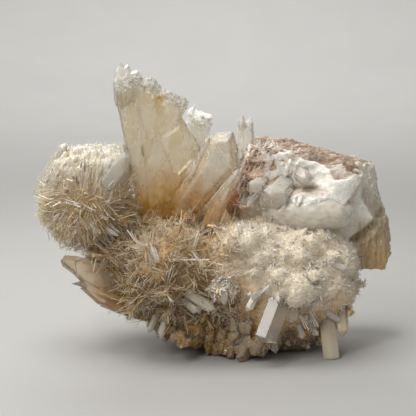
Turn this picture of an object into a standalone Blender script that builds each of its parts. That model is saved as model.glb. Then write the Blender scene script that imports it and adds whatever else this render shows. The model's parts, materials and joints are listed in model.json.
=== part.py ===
"""A quartz needle cluster: crystals grown together on a broken block of massive quartz.

Run with Blender 4.5. The places below are in millimetres, with +Z up, -Y towards the side with
the best crystals and Z at 0 on the surface that the cluster rests on. Each finished piece is in
metres, and the scene's origin is the point of that surface under the middle of the outline.
"""

import math
import random
from collections import namedtuple

import bmesh
import bpy
from mathutils import Matrix, Vector, noise

METRES = 0.001  # metres in a millimetre
SEED = 27

# Clearances and small margins, mm
GAP = 0.35  # between two pieces that touch
BURIED = 4.0  # how far a needle's foot stands inside the mass that it grew from
CROWDING = 4.2  # least distance between the tips of two needles
FLOOR_MARGIN = 1.0  # how near a needle's tip may come to the resting surface
MASS_MARGIN, BLOCK_MARGIN, CRYSTAL_MARGIN = 2.0, 1.5, 1.5  # the same for the other pieces
FLOOR_SLAB = Vector((400, 300, 60))  # what trims the cluster along the resting surface

# Needles: distance between their feet, how much they lean, and the form of their ends
SHEAF_SPACING, BED_SPACING = 14.5, 21.0
NEEDLE_LEAN = 0.16
NEEDLE_TAPER, NEEDLE_POINT = 0.85, 1.4
SLENDER = 4.4  # a needle thinner than this has four sides, because six would not show

# Size of a facet of the masses, and how far its corners stray, as a share of it
SHEAF_FACET, BED_FACET, BLOCK_FACET = 9.0, 11.5, 9.0
STRAY = 0.2
CREASE_SMOOTHING = 2  # rounds that soften the creases where two masses meet
POINT_HEIGHTS = (0.4, 0.7, 1.0, 1.8)  # of the points on the facets, as shares of a mass's spike
POINT_LEAN = 0.3

# A prism that ends in a pyramid: the place of its foot and its tip, its width and depth at the
# foot, the width under the pyramid as a share of it, the pyramid's height over half the width,
# and how far the prism is turned about its length, in degrees
Crystal = namedtuple("Crystal", "base tip width depth taper point turn sides", defaults=(6,))
# An ellipsoid
Mass = namedtuple("Mass", "centre radii")

# The point under the middle of the outline, as the places below are measured
ORIGIN = Vector((0.3, -1.1, 0.0))

# The tall crystal is a fan of broad prisms grown side by side
TALL_CRYSTAL = (
    Crystal((-39, 10, 62), (-52.5, 10, 181), 17, 16, 1.05, 0.9, 0),
    Crystal((-40, 12, 66), (-57.5, 11, 175), 10, 13, 1.05, 0.7, 30),
    Crystal((-34, 9, 60), (-38.5, 9, 172), 20, 20, 1.20, 0.35, 0),
    Crystal((-31, 11, 64), (-26, 11, 163), 17, 19, 1.20, 0.40, 0),
    Crystal((-27, 12, 72), (-16, 12, 156), 11, 13, 1.15, 0.6, 30),
    Crystal((-27, 9, 78), (-10.5, 9, 133), 12, 11, 1.10, 0.9, 0),
)
# Short crystals along its broken crest, each rooted in the top of a prism
CREST_COUNT = 9
CREST_FROM, CREST_TO = Vector((-58, 10, 170)), Vector((-15, 12, 151))
CREST_LENGTH, CREST_WIDTH = 13, 7

COMPANION_CRYSTAL = (
    Crystal((-14, 31, 72), (-5.5, 29, 149), 15, 13, 1.15, 0.5, 0),
    Crystal((-18, 30, 80), (-11, 29, 154), 8, 8, 0.9, 1.4, 0),
)
LEANING_CRYSTAL = (
    Crystal((-26, -9, 80), (12.5, -9, 137), 15, 14, 1.30, 0.40, 0),
    Crystal((-15, -10, 82), (14.5, -10, 128), 13, 12, 1.10, 0.7, 30),
)
LOWER_LEANING_CRYSTAL = (
    Crystal((-6, -20, 74), (19, -20, 113), 10, 8, 0.9, 0.9, 0),
    Crystal((-3, -21, 70), (9, -24, 95), 8, 7, 0.9, 0.9, 30),
)
PALE_TIP_CRYSTALS = (
    Crystal((22, 6, 104), (18.9, 6, 147.5), 7, 7, 0.75, 2.6, 0),
    Crystal((23, 7, 104), (24.3, 7, 145.5), 7, 8, 0.75, 2.2, 30),
)
UPPER_BLADE = (Crystal((-38, -18, 30), (-96, -18, 56.5), 15, 7, 1.0, 0.45, 0),)
MIDDLE_BLADE = (Crystal((-36, -26, 26), (-80, -27, 41), 11, 6, 0.9, 0.6, 0),)
LOWER_BLADE = (Crystal((-30, -9, 21), (-70, -10, 24.5), 12, 7, 0.9, 0.9, 0),)
FRONT_POINT = (
    Crystal((47, -34, 46), (30.5, -58, 12.5), 12.5, 9, 1.05, 0.7, 0),
    Crystal((57, -32, 43), (43.5, -53, 17), 10, 8, 1.0, 0.9, 30),
)
RIGHT_FOOT = (
    Crystal((70, -20, 42), (75, -37, -4), 13, 8, 1.0, 0.6, 0),
    Crystal((80, -20, 40), (82, -32, 12), 9, 8, 0.95, 1.0, 30),
)

# The massive block: flat along each plane that it broke along, with swellings on its front
BLOCK_CENTRE, BLOCK_SIZE = Vector((66, 12, 88)), Vector((88, 56, 74))
BLOCK_PLANES = (
    # outward normal, and a point on the plane
    ((0.10, 0.0, 1.0), (45, 20, 129.5)),
    ((0.27, 0.0, 1.0), (62, 20, 126.5)),
    ((0.02, -1.0, -0.18), (52, -13, 122)),
    ((0.90, -0.43, 0.32), (106, 28, 112)),
    ((-0.93, -0.05, 0.37), (24, 10, 130)),
    ((0.10, 1.0, 0.12), (60, 42, 96)),
    ((-0.45, 0.80, 0.10), (26, 36, 100)),
    ((0.75, 0.70, 0.05), (108, 34, 88)),
    ((-0.10, -0.12, -1.0), (108, 10, 46)),
    ((0.85, 0.05, -0.60), (118, 10, 55)),
)
BLOCK_ROUGH, BLOCK_GRAIN = 2.4, 3.1
BLOCK_MASSES = (
    Mass((62, -14, 93), (27, 13, 12)),
    Mass((80, -4, 107), (18, 16, 12)),
)
BLOCK_CRYSTALS = (
    Crystal((47, 0, 104), (37, -27, 99), 20, 20, 0.9, 0.5, 0),
    Crystal((34, 0, 106), (27, -23, 106), 10, 10, 1.0, 0.2, 30),
    Crystal((54, 0, 112), (58, -21, 111), 12, 11, 0.8, 0.5, 0),
    Crystal((30, 0, 98), (17, -17, 91), 9, 7, 0.8, 0.9, 0),
)

# The needle bed: rounded masses run together, covered in points, that the needles stand on
BED_CENTRE, BED_SIZE = Vector((8, 2, 44)), Vector((164, 88, 76))
BED_MASSES = (
    Mass((-22, -12, 48), (33, 32, 34)),
    Mass((30, -12, 47), (42, 35, 38)),
    Mass((68, -6, 43), (25, 29, 37)),
    Mass((24, -2, 16), (52, 38, 23)),
    Mass((-52, 0, 57), (24, 26, 25)),
    Mass((8, 24, 52), (54, 25, 37)),
)
BED_ROUGH, BED_GRAIN, BED_SPIKE = 3.5, 4.5, 5.0
# The rounded sheaf of needles at the left end, with stout columns on its top
SHEAF_MASS = Mass((-80.5, -6, 92.5), (27, 26, 29))
SHEAF_ROUGH, SHEAF_GRAIN, SHEAF_SPIKE = 1.5, 3.0, 4.5
SHEAF_COLUMNS = (
    Crystal((-82, -4, 88), (-94, -6, 129), 13, 13, 1.05, 0.3, 0),
    Crystal((-80, -2, 88), (-84, -4, 131), 14, 16, 1.05, 0.25, 30),
    Crystal((-78, -2, 88), (-72, -3, 129), 14, 16, 1.05, 0.25, 0),
    Crystal((-76, -4, 88), (-60, -6, 127), 13, 13, 1.05, 0.35, 30),
    Crystal((-84, -6, 90), (-104, -8, 115), 13, 14, 1.0, 0.4, 0),
    Crystal((-80, 8, 88), (-84, 16, 127), 15, 14, 1.0, 0.4, 0),
    Crystal((-70, -14, 90), (-54, -25, 122), 8, 5, 1.0, 0.8, 30),
    Crystal((-86, -8, 94), (-116, -9, 100), 8, 8, 0.9, 0.8, 0),
)


def srgb(red, green, blue):
    """Scene colour, with alpha, of a screen colour given as 0 to 255."""
    def linear(value):
        share = value / 255
        return share / 12.92 if share <= 0.04045 else ((share + 0.055) / 1.055) ** 2.4

    return (linear(red), linear(green), linear(blue), 1.0)


def clear_scene():
    for item in list(bpy.data.objects):
        bpy.data.objects.remove(item, do_unlink=True)


def new_collection(name):
    found = bpy.data.collections.new(name)
    bpy.context.scene.collection.children.link(found)
    return found


def quartz(name, colour, roughness):
    material = bpy.data.materials.new(name)
    material.use_nodes = True
    shader = material.node_tree.nodes["Principled BSDF"]
    shader.inputs["Base Color"].default_value = colour
    shader.inputs["Roughness"].default_value = roughness
    shader.inputs["Metallic"].default_value = 0.0
    return material


def frame_along(axis):
    """Rotation that lays Z along an axis, with Y as near to the scene's own Y as it can be."""
    along = axis.normalized()
    across = Vector((0, 1, 0)) - along * along.y
    if across.length < 0.3:
        across = Vector((0, 0, 1)) - along * along.z
    across.normalize()
    side = across.cross(along)
    return Matrix((side, across, along)).transposed().to_4x4()


def crystal_shape(shape, clearance=0.0):
    """A crystal as a closed mesh, larger by clearance all round when it is to cut a socket."""
    base, tip = Vector(shape.base), Vector(shape.tip)
    length = (tip - base).length
    cap = shape.point * shape.width / 2
    bm = bmesh.new()
    bmesh.ops.create_cone(
        bm,
        cap_ends=True,
        segments=shape.sides,
        radius1=shape.width / 2 + clearance,
        radius2=shape.width / 2 * shape.taper + clearance,
        depth=length - cap + clearance,
    )
    top = max(bm.faces, key=lambda face: face.calc_center_median().z)
    bmesh.ops.poke(bm, faces=[top], offset=cap + clearance)
    bmesh.ops.translate(bm, verts=bm.verts, vec=(0, 0, (length - cap) / 2))
    turned = Matrix.Rotation(math.radians(shape.turn), 4, "Z")
    flattened = Matrix.Diagonal((1, shape.depth / shape.width, 1, 1))
    placed = Matrix.Translation(base) @ frame_along(tip - base)
    bmesh.ops.transform(bm, verts=bm.verts, matrix=placed @ flattened @ turned)
    return bm


def mass_reach(mass, start, direction):
    """How far a line from start runs until it leaves a mass for the last time, or 0 if it misses."""
    way = Vector(a / b for a, b in zip(direction, mass.radii))
    offset = Vector(a / b for a, b in zip(start - Vector(mass.centre), mass.radii))
    half = way.dot(offset)
    inner = half * half - way.length_squared * (offset.length_squared - 1)
    return (math.sqrt(inner) - half) / way.length_squared if inner > 0 else 0.0


def gridded_box(size, facet):
    """A box cut into facets of about one size."""
    bm = bmesh.new()
    bmesh.ops.create_cube(bm, size=1.0)
    bmesh.ops.scale(bm, verts=bm.verts, vec=size)
    for axis in range(3):
        count = round(size[axis] / facet)
        across = Vector(float(axis == other) for other in range(3))
        for number in range(1, count):
            everything = bm.verts[:] + bm.edges[:] + bm.faces[:]
            place = across * size[axis] * (number / count - 0.5)
            bmesh.ops.bisect_plane(bm, geom=everything, plane_co=place, plane_no=across)
    return bm


def stray(bm, distance):
    """Moves each corner a little, so that the facets show no rows."""
    rng = random.Random(SEED)
    for vertex in bm.verts:
        vertex.co += Vector(rng.uniform(-distance, distance) for _ in range(3))


def swollen(bm, start, masses, rough, grain, clearance):
    """Presses a box around start out to the far side of the masses, and makes it lumpy."""
    for vertex in bm.verts:
        direction = vertex.co.normalized()
        reach = max(mass_reach(mass, start, direction) for mass in masses)
        swell = rough * noise.noise(direction * grain + start)
        vertex.co = start + direction * (reach + swell + clearance)
    for _ in range(CREASE_SMOOTHING):
        bmesh.ops.smooth_vert(
            bm, verts=bm.verts, factor=0.5, use_axis_x=True, use_axis_y=True, use_axis_z=True
        )


def raise_points(bm, spike):
    """Raises each facet to a leaning point, tall on one in four and low where a facet is narrow."""
    rng = random.Random(SEED)
    for face in list(bm.faces):
        narrow = face.calc_area() / max(edge.calc_length() for edge in face.edges)
        height = min(spike * rng.choice(POINT_HEIGHTS), narrow * 0.9) * rng.uniform(0.8, 1.1)
        lean = Vector(rng.uniform(-1, 1) for _ in range(3)) * min(height, narrow / 2) * POINT_LEAN
        raised = bmesh.ops.poke(bm, faces=[face], offset=height)
        raised["verts"][0].co += lean


def sheaf_shape(clearance=0.0):
    bm = gridded_box(Vector(SHEAF_MASS.radii) * 2, SHEAF_FACET)
    centre = Vector(SHEAF_MASS.centre)
    swollen(bm, centre, [SHEAF_MASS], SHEAF_ROUGH, SHEAF_GRAIN, clearance)
    stray(bm, STRAY * SHEAF_FACET)
    raise_points(bm, SHEAF_SPIKE)
    return bm


def bed_shape():
    bm = gridded_box(BED_SIZE, BED_FACET)
    swollen(bm, BED_CENTRE, BED_MASSES, BED_ROUGH, BED_GRAIN, 0.0)
    stray(bm, STRAY * BED_FACET)
    raise_points(bm, BED_SPIKE)
    return bm


def block_shape(clearance=0.0):
    """The broken block: a box pressed out to its breaks and swellings, rough all over."""
    planes = []
    for normal, point in BLOCK_PLANES:
        outward = Vector(normal).normalized()
        planes.append((outward, outward.dot(Vector(point) - BLOCK_CENTRE)))
    bm = gridded_box(BLOCK_SIZE, BLOCK_FACET)
    stray(bm, STRAY * BLOCK_FACET)
    bmesh.ops.triangulate(bm, faces=bm.faces)
    for vertex in bm.verts:
        direction = vertex.co.normalized()
        reach = min(
            distance / direction.dot(outward)
            for outward, distance in planes
            if direction.dot(outward) > 0.05
        )
        swellings = [mass_reach(mass, BLOCK_CENTRE, direction) for mass in BLOCK_MASSES]
        chips = BLOCK_ROUGH * noise.turbulence(direction * BLOCK_GRAIN, 3, True) - BLOCK_ROUGH / 2
        vertex.co = BLOCK_CENTRE + direction * (max([reach] + swellings) - chips + clearance)
    return bm


def new_object(name, bm, collection):
    """An object made of a closed mesh, which is used up."""
    bmesh.ops.recalc_face_normals(bm, faces=bm.faces)
    mesh = bpy.data.meshes.new(name)
    bm.to_mesh(mesh)
    bm.free()
    item = bpy.data.objects.new(name, mesh)
    collection.objects.link(item)
    return item


def combine(item, shapes, operation):
    """Joins closed shapes to an object, or cuts them from it, in one applied Boolean."""
    cutters = new_collection(item.name + "_cutters")
    for number, shape in enumerate(shapes):
        cutter = new_object(f"cutter_{number}", shape, cutters)
        cutter.hide_render = True
        cutter.display_type = "WIRE"
    modifier = item.modifiers.new("combine", "BOOLEAN")
    modifier.operation = operation
    modifier.operand_type = "COLLECTION"
    modifier.collection = cutters
    modifier.solver = "EXACT"
    bpy.context.view_layer.update()
    evaluated = item.evaluated_get(bpy.context.evaluated_depsgraph_get())
    mesh = bpy.data.meshes.new_from_object(evaluated)
    item.modifiers.clear()
    item.data = mesh
    for cutter in list(cutters.objects):
        bpy.data.objects.remove(cutter, do_unlink=True)
    bpy.data.collections.remove(cutters)


def drop_crumbs(item):
    """Keeps the one largest closed surface and drops what a cut left loose or shut in."""
    bm = bmesh.new()
    bm.from_mesh(item.data)
    unseen = set(bm.faces)
    surfaces = []
    while unseen:
        surface = [unseen.pop()]
        for face in surface:
            for edge in face.edges:
                if len(edge.link_faces) > 2:
                    continue
                for other in edge.link_faces:
                    if other in unseen:
                        unseen.remove(other)
                        surface.append(other)
        surfaces.append(surface)
    largest = max(surfaces, key=len)
    crumbs = [face for surface in surfaces if surface is not largest for face in surface]
    bmesh.ops.delete(bm, geom=crumbs, context="FACES")
    bm.to_mesh(item.data)
    bm.free()


def finish(item, root, material, parent):
    """What every piece ends with: its own origin at its root, metres, a material and a parent."""
    bm = bmesh.new()
    bm.from_mesh(item.data)
    bmesh.ops.triangulate(bm, faces=bm.faces)
    bmesh.ops.translate(bm, verts=bm.verts, vec=-Vector(root))
    bmesh.ops.scale(bm, verts=bm.verts, vec=(METRES, METRES, METRES))
    bm.to_mesh(item.data)
    bm.free()
    item.parent = parent
    item.location = (Vector(root) - ORIGIN) * METRES
    item.data.materials.clear()
    item.data.materials.append(material)


def fused(name, shapes, collection):
    """One object made of closed shapes that overlap."""
    item = new_object(name, shapes[0], collection)
    if len(shapes) > 1:
        combine(item, shapes[1:], "UNION")
    drop_crumbs(item)
    return item


def crystals(group, clearance=0.0):
    return [crystal_shape(shape, clearance) for shape in group]


def inside(mass, point, margin):
    """Whether a point is in a mass, or within margin of it."""
    offset = point - Vector(mass.centre)
    return Vector(a / (b + margin) for a, b in zip(offset, mass.radii)).length < 1.0


def beside_crystal(shape, point, margin):
    """Whether a point is within margin of a crystal, taken as a thick rod."""
    base, tip = Vector(shape.base), Vector(shape.tip)
    along = max(0.0, min(1.0, (point - base).dot(tip - base) / (tip - base).length_squared))
    return (point - base.lerp(tip, along)).length < shape.width / 2 + margin


def inside_block(point, margin):
    """Whether a point is in the block, or within margin of it."""
    if any(inside(mass, point, margin) for mass in BLOCK_MASSES):
        return True
    for normal, on_plane in BLOCK_PLANES:
        if Vector(normal).normalized().dot(point - Vector(on_plane)) > margin:
            return False
    return True


def spread(count):
    """Directions spread evenly over a ball."""
    golden = math.pi * (3 - math.sqrt(5))
    for number in range(count):
        height = 1 - (2 * number + 1) / count
        ring = math.sqrt(1 - height * height)
        yield Vector((ring * math.cos(golden * number), ring * math.sin(golden * number), height))


def bed_needle_size(foot, way, rng):
    """Width and length of a needle of the bed: slender at the left, stout at the right and below."""
    slender = max(0.0, min(1.0, (18 - foot.x) / 45))
    width = 5.6 - 2.2 * slender
    length = 9 + 9 * slender
    if way.z < -0.35:
        width += 1.6
        length *= 0.7
    if foot.y > 25:
        length *= 0.8
    return width * rng.uniform(0.85, 1.15), length * rng.uniform(0.75, 1.3)


def sheaf_needle_size(_foot, way, rng):
    """Width and length of a needle of the sheaf: longer where it hangs."""
    length = 9.5 if way.z > 0 else 11
    return 3.3 * rng.uniform(0.85, 1.15), length * rng.uniform(0.8, 1.25)


def needles(masses, spacing, size, blocked, rng):
    """Needles standing out of the masses, wherever no other piece or mass is in the way."""
    found = []
    tips = []
    for mass in masses:
        centre = Vector(mass.centre)
        mean = sum(mass.radii) / 3
        for direction in spread(round(4 * math.pi * (mean / spacing) ** 2)):
            reach = Vector(a * b for a, b in zip(direction, mass.radii))
            normal = Vector(a / b for a, b in zip(direction, mass.radii)).normalized()
            lean = Vector(rng.gauss(0, 1) for _ in range(3)) * NEEDLE_LEAN
            way = (normal + lean).normalized()
            turn = rng.uniform(0, 60)
            surface = centre + reach
            width, length = size(surface, way, rng)
            foot = surface - normal * BURIED
            tip = surface + way * length
            others = [other for other in masses if other is not mass]
            if any(inside(other, place, MASS_MARGIN) for other in others for place in (surface, tip)):
                continue
            if tip.z < FLOOR_MARGIN or blocked(tip) or blocked(foot.lerp(tip, 0.6)):
                continue
            if any((tip - other).length < CROWDING for other in tips):
                continue
            tips.append(tip)
            depth = width * rng.uniform(0.75, 1.0)
            sides = 4 if width < SLENDER else 6
            shape = Crystal(foot, tip, width, depth, NEEDLE_TAPER, NEEDLE_POINT, turn, sides)
            found.append(shape)
    return found


def crest_crystals(rng):
    """Short crystals leaning every way along the broken top of the tall crystal."""
    found = []
    for number in range(CREST_COUNT):
        share = (number + 0.5) / CREST_COUNT
        root = CREST_FROM.lerp(CREST_TO, share)
        way = Vector((rng.uniform(-0.5, 0.6), rng.uniform(-0.7, 0.7), 1.0)).normalized()
        root += Vector((0, rng.uniform(-4, 4), rng.uniform(-2, 3)))
        width = CREST_WIDTH * rng.uniform(0.8, 1.15)
        tip = root + way * CREST_LENGTH * rng.uniform(0.75, 1.0)
        found.append(Crystal(root, tip, width, width * 0.8, 0.8, 1.2, rng.uniform(0, 60)))
    return found


def floor_cutter():
    """A slab under the resting surface, which trims whatever reaches below it."""
    bm = bmesh.new()
    bmesh.ops.create_cube(bm, size=1.0)
    bmesh.ops.scale(bm, verts=bm.verts, vec=FLOOR_SLAB)
    bmesh.ops.translate(bm, verts=bm.verts, vec=(0, 0, -FLOOR_SLAB.z / 2))
    return bm


def make_crystals(crest, parts, resting_point):
    """The crystals that stand out of the cluster, each group of them grown into one piece."""
    clear_quartz = quartz("clear_quartz", srgb(206, 198, 182), 0.15)
    milky_quartz = quartz("milky_quartz", srgb(190, 180, 156), 0.25)
    pieces = {
        "tall_crystal": (TALL_CRYSTAL + crest, milky_quartz),
        "companion_crystal": (COMPANION_CRYSTAL, clear_quartz),
        "leaning_crystal": (LEANING_CRYSTAL, milky_quartz),
        "lower_leaning_crystal": (LOWER_LEANING_CRYSTAL, milky_quartz),
        "pale_tip_crystals": (PALE_TIP_CRYSTALS, clear_quartz),
        "upper_blade": (UPPER_BLADE, clear_quartz),
        "middle_blade": (MIDDLE_BLADE, clear_quartz),
        "lower_blade": (LOWER_BLADE, clear_quartz),
        "front_point_crystal": (FRONT_POINT, clear_quartz),
        "right_foot_crystal": (RIGHT_FOOT, clear_quartz),
    }
    for name, (group, material) in pieces.items():
        item = fused(name, crystals(group), parts)
        if name == "right_foot_crystal":
            combine(item, [floor_cutter()], "DIFFERENCE")
        finish(item, group[0].base, material, resting_point)
    return [shape for group, _ in pieces.values() for shape in group]


def make_block(standing, parts, resting_point):
    """The block of massive quartz, with sockets round the crystals that stand in it."""
    block = fused("matrix_block", [block_shape()] + crystals(BLOCK_CRYSTALS), parts)
    combine(block, crystals(standing, GAP), "DIFFERENCE")
    drop_crumbs(block)
    massive_quartz = quartz("massive_quartz", srgb(208, 200, 188), 0.5)
    finish(block, BLOCK_CENTRE, massive_quartz, resting_point)


def make_sheaf(standing, parts, material, resting_point, rng):
    """The rounded sheaf of needles. Returns its crystals, which the bed makes room for."""
    def blocked(point):
        if any(inside(mass, point, MASS_MARGIN) for mass in BED_MASSES):
            return True
        return any(beside_crystal(shape, point, CRYSTAL_MARGIN) for shape in standing)

    found = needles([SHEAF_MASS], SHEAF_SPACING, sheaf_needle_size, blocked, rng)
    grown = list(SHEAF_COLUMNS) + found
    sheaf = fused("left_needle_sheaf", [sheaf_shape()] + crystals(grown), parts)
    combine(sheaf, crystals(standing, GAP), "DIFFERENCE")
    drop_crumbs(sheaf)
    finish(sheaf, SHEAF_MASS.centre, material, resting_point)
    return grown


def make_bed(standing, grown, parts, material, resting_point, rng):
    """The needle bed, cut flat where it rests and to fit round every other piece."""
    def blocked(point):
        if inside(SHEAF_MASS, point, MASS_MARGIN) or inside_block(point, BLOCK_MARGIN):
            return True
        return any(beside_crystal(shape, point, CRYSTAL_MARGIN) for shape in standing + grown)

    found = needles(BED_MASSES, BED_SPACING, bed_needle_size, blocked, rng)
    bed = fused("needle_bed", [bed_shape()] + crystals(found), parts)
    cutters = [floor_cutter(), block_shape(GAP), sheaf_shape(GAP)]
    cutters += crystals(standing + list(BLOCK_CRYSTALS) + grown, GAP)
    combine(bed, cutters, "DIFFERENCE")
    drop_crumbs(bed)
    finish(bed, BED_CENTRE, material, resting_point)


def main():
    clear_scene()
    parts = new_collection("quartz_needle_cluster")
    resting_point = bpy.data.objects.new("resting_point", None)
    parts.objects.link(resting_point)
    rng = random.Random(SEED)
    needle_quartz = quartz("needle_quartz", srgb(178, 160, 132), 0.25)

    standing = make_crystals(tuple(crest_crystals(rng)), parts, resting_point)
    make_block(standing, parts, resting_point)
    grown = make_sheaf(standing, parts, needle_quartz, resting_point, rng)
    make_bed(standing, grown, parts, needle_quartz, resting_point, rng)


main()
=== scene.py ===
"""The looks of a quartz needle cluster, as a Blender add-on that runs as a script.

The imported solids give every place. Lengths are in millimetres until a mesh is finished, with
+Z up, -Y towards the camera and the origin on the surface that the cluster rests on.
"""

import json
import math
import random

import bmesh
import bpy
import numpy as np
from mathutils import Matrix, Vector, noise
from mathutils.bvhtree import BVHTree

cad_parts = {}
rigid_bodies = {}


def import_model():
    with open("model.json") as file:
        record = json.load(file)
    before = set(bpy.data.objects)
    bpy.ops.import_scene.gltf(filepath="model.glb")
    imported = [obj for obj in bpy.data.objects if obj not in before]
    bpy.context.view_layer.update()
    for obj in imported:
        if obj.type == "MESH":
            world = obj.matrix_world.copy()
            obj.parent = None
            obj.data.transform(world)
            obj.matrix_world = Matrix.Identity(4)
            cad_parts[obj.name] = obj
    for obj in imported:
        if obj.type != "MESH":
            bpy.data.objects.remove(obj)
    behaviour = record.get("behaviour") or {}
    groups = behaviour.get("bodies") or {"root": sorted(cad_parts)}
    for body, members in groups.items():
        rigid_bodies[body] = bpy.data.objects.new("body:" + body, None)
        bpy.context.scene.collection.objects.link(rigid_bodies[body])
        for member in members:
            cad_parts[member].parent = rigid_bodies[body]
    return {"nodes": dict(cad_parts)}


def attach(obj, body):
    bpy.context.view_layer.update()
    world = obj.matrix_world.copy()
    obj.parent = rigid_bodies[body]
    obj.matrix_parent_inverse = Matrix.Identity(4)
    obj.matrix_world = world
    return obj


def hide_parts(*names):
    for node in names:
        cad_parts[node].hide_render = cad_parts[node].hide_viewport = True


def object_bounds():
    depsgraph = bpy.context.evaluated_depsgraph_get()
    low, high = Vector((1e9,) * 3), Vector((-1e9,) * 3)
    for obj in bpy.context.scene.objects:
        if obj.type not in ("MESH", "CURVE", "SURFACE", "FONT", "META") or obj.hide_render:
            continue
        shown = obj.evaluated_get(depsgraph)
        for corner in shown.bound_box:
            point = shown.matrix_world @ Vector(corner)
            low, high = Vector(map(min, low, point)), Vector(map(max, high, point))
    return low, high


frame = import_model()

bl_info = {
    "name": "Quartz needle cluster",
    "version": (1, 0, 0),
    "blender": (4, 5, 0),
    "location": "3D View > Sidebar > Quartz",
    "description": "Dresses the solids of a quartz cluster in needles, points and milky crystals",
    "category": "Object",
}

CAD_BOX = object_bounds()
MM = 0.001  # metres in a millimetre
PROUD = 2.0  # mm that a needle's tip may stand outside the solids' box
LIMITS = [(low / MM - PROUD, high / MM + PROUD) for low, high in zip(*CAD_BOX)]
LOWEST = 0.05  # mm, how near the resting surface a mesh may come
LOOK_START = -150.0  # mm along Y, where a look from the front starts
CORNER = math.cos(math.pi / 6)  # how far a prism's corner reaches, as a share of its half width
SLAB_HALF = 0.4  # mm, half the thickness that a slab is extruded to before its faces are raised
SEED = 11
QUARTZ_IOR = 1.544
NEEDLES_IN_A_PIECE = 8500

# Camera: the photograph's viewing angle, mm and degrees
VIEW_TARGET = Vector((-2.2, 1.1, 88.2))
VIEW_DISTANCE, VIEW_RISE, VIEW_LENS = 850.0, 10.0, 116.02

# Rough places of the masses that needles grow from, as the solids have them
SHEAF_CENTRE = Vector((-80.8, -4.9, 92.5))
SHEAF_HEART = Vector((-79, -18, 99))  # where its needles seem to start
FLANK_CENTRE, FLANK_RADII = Vector((-60, -2, 84)), Vector((12.5, 17, 24))

# Where iron has stained the quartz; the lowest of these places also paint shade, darker and browner
# towards the bottom: centre, radius and strength
STAINS_AND_LOW_SHADE = (
    ((-34, 6, 62), 58, 1.5), ((-24, 2, 88), 34, 1.2), ((-8, -8, 80), 36, 1.0), ((-54, -4, 76), 40, 1.6),
    ((-79, -26, 94), 30, 0.9), ((-80, -8, 54), 46, 0.8), ((-48, -20, 50), 44, 1.3),
    ((-20, -38, 66), 38, 0.8), ((-45, -20, 30), 56, 1.6), ((-10, -30, 10), 60, 1.5),
    ((30, -20, -8), 54, 1.5), ((70, -10, 4), 50, 1.1), ((0, 28, 60), 60, 0.7), ((110, -6, 50), 34, 0.45),
)
# Flaws in the tall crystal: first end, last end, width and strength
TALL_FLAWS = (
    ((-37, 0, 132), (-42, 0, 118), 0.5, 0.3),
    ((-46, 0, 152), (-41, 0, 133), 0.9, 0.25),
    ((-44, 0, 128), (-43, 0, 122), 0.9, 0.7),
    ((-30, 0, 112), (-24, 0, 92), 0.6, 0.3),
)
# The same for the specks in the sheaf
SHEAF_FLAWS = (
    ((-84.5, 0, 112.5), (-81, 0, 109), 0.9, 1.0),
    ((-82.5, 0, 113), (-81.8, 0, 107.5), 0.7, 1.0),
    ((-73.8, 0, 112), (-73.2, 0, 108), 0.7, 1.0),
)
# Where rust shows, where the tall crystal has curved flaws and where it has amber spots, as stains are
RUSTS = (((14, -6, 97), 14, 1.5), ((22, -10, 116), 15, 1.3), ((106, 0, 121), 7, 1.2))
RINGS = (((-52, 8, 158), 18, 0.8),)
AMBER_SPOTS = (((-33, 1, 157), 6, 1.4), ((-33.5, 1, 151.5), 5, 1.0))
RING_CENTRE = (-44.0, 8.0, 150.0)
# Milky quartz: tint or colour setting, tilt in degrees, transmission, strength of the stains and of their
# painted shade, roughness, density and glow in mm
MILKY_QUARTZ = {
    "tall_quartz": ("cream", -6, 0.7, 0.9, 0.32, 6.0, 8.0),
    "tip_quartz": ((246, 245, 240), -6, 0.6, 0.0, 0.12, 1.0, 5.0),
    "companion_quartz": ((255, 252, 242), 7, 0.1, 1.0, 0.3, 1.0, 12.0),
    "leaning_quartz": ((230, 218, 196), 40, 0.7, 0.9, 0.25, 4.0, 8.0),
    "pale_quartz": ((246, 244, 238), 0, 0.6, 0.1, 0.25, 2.0, 5.0),
    "grey_quartz": ((214, 206, 196), 60, 0.4, 0.4, 0.16, 6.0, 8.0),
    "lump_quartz": ((242, 232, 216), 70, 0.3, 0.4, 0.3, 3.0, 5.0),
    "blade_quartz": ((226, 220, 208), -62, 0.8, 0.5, 0.12, 5.0, 4.0),
    "point_quartz": ((236, 233, 225), 25, 0.88, 0.0, 0.1, 2.0, 4.0),
    "foot_quartz": ((238, 224, 198), 10, 0.5, 0.2, 0.15, 3.0, 5.0),
    "sheaf_core_quartz": ((228, 216, 190), 14, 0.35, 0.6, 0.25, 4.0, 6.0),
    "sheaf_plate_quartz": ((242, 238, 226), -30, 0.6, 0.0, 0.12, 2.0, 5.0),
    "pale_crystal_quartz": ((246, 242, 232), 0, 0.45, 0.15, 0.16, 2.0, 4.0),
    "foot_lump_quartz": ((230, 216, 192), 0, 0.6, 0.5, 0.14, 4.0, 6.0),
}
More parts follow.
